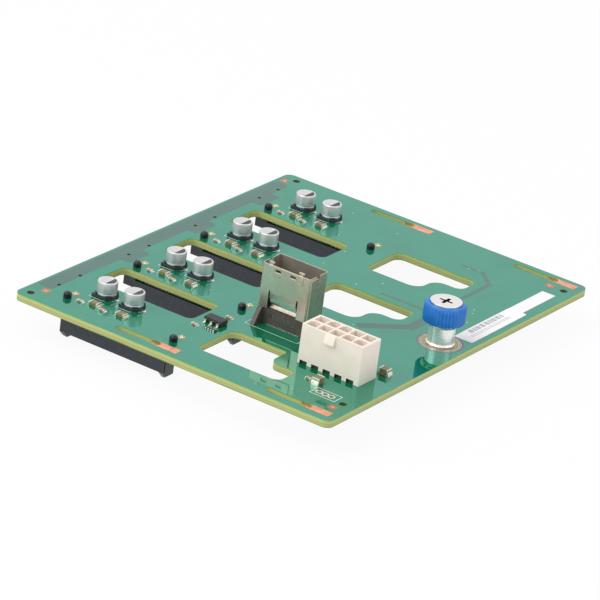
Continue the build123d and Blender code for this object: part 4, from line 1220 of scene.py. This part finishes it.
labelLow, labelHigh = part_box("edge_label")
label = {
    "split": 0.62, "overlap": 5.5, "sheet": 0.05,
    "wider": 1.3, "corner": 0.7, "footNarrower": 0.02, "footShorter": 0.1,  # the front strip and its foot
    "narrower": 0.4, "backShift": 0.15, "backCorner": 0.15,
}
frontLength = (labelHigh.y - labelLow.y) / mm * label["split"]


def makeLabel():
    length, width = (labelHigh.y - labelLow.y) / mm, (labelHigh.x - labelLow.x) / mm
    overlap, sheet, corner = label["overlap"], label["sheet"], label["corner"]
    under = (labelHigh.z - labelLow.z) / mm - sheet
    backLength = length - frontLength + overlap
    frontWidth = width + label["wider"]  # it reaches further to the board's edge
    middle = (labelLow.x + labelHigh.x) / 2
    frontSpot = Vector((middle + label["wider"] / 2 * mm, labelLow.y + frontLength / 2 * mm, boardHigh.z))
    backSpot = Vector((middle - label["backShift"] * mm, labelHigh.y - backLength / 2 * mm, boardHigh.z))
    front = flatPatch("strip", frontSpot + Vector((0, 0, under * mm)), frontWidth, frontLength, sheet,
                      corner=corner)
    foot = flatPatch("strip", frontSpot, frontWidth - label["footNarrower"],
                     frontLength - overlap - label["footShorter"], under, corner=corner)
    foot.location.y -= overlap / 2 * mm
    back = flatPatch("strip", backSpot, width - label["narrower"], backLength, under,
                     corner=label["backCorner"])
    strips = finishPiece(joined([front, foot, back], "edgeLabel"), "label_paper")
    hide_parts("edge_label")


bars = {
    "count": 26, "x": 1.55, "front": 6.3, "length": 2.0, "ink": 0.008,
    "pitch": 0.8, "pitchStep": 0.12, "thin": 0.22, "thinStep": 0.16,
    "rules": (3.5, 4.2), "ruleWidth": 0.16, "ruleMiddle": 0.46, "ruleShare": 0.7,
}


def makeBars():
    ink, made = bars["ink"], []
    place = labelLow.y + bars["front"] * mm
    for count in range(bars["count"]):
        spot = Vector((labelLow.x + bars["x"] * mm, place, labelHigh.z))
        thickness = bars["thin"] + bars["thinStep"] * (count * 5 % 3)
        made.append(flatPatch("bar", spot, bars["length"], thickness, ink))
        place += (bars["pitch"] + bars["pitchStep"] * (1 - count * 7 % 4)) * mm
    middle = labelLow.y + frontLength * bars["ruleMiddle"] * mm
    for away in bars["rules"]:
        spot = Vector((labelLow.x + away * mm, middle, labelHigh.z))
        made.append(flatPatch("bar", spot, bars["ruleWidth"], frontLength * bars["ruleShare"], ink))
    finishPiece(joined(made, "labelBars"), "label_paper", "greyInk")


makeLabel()
makeBars()
print("label done")
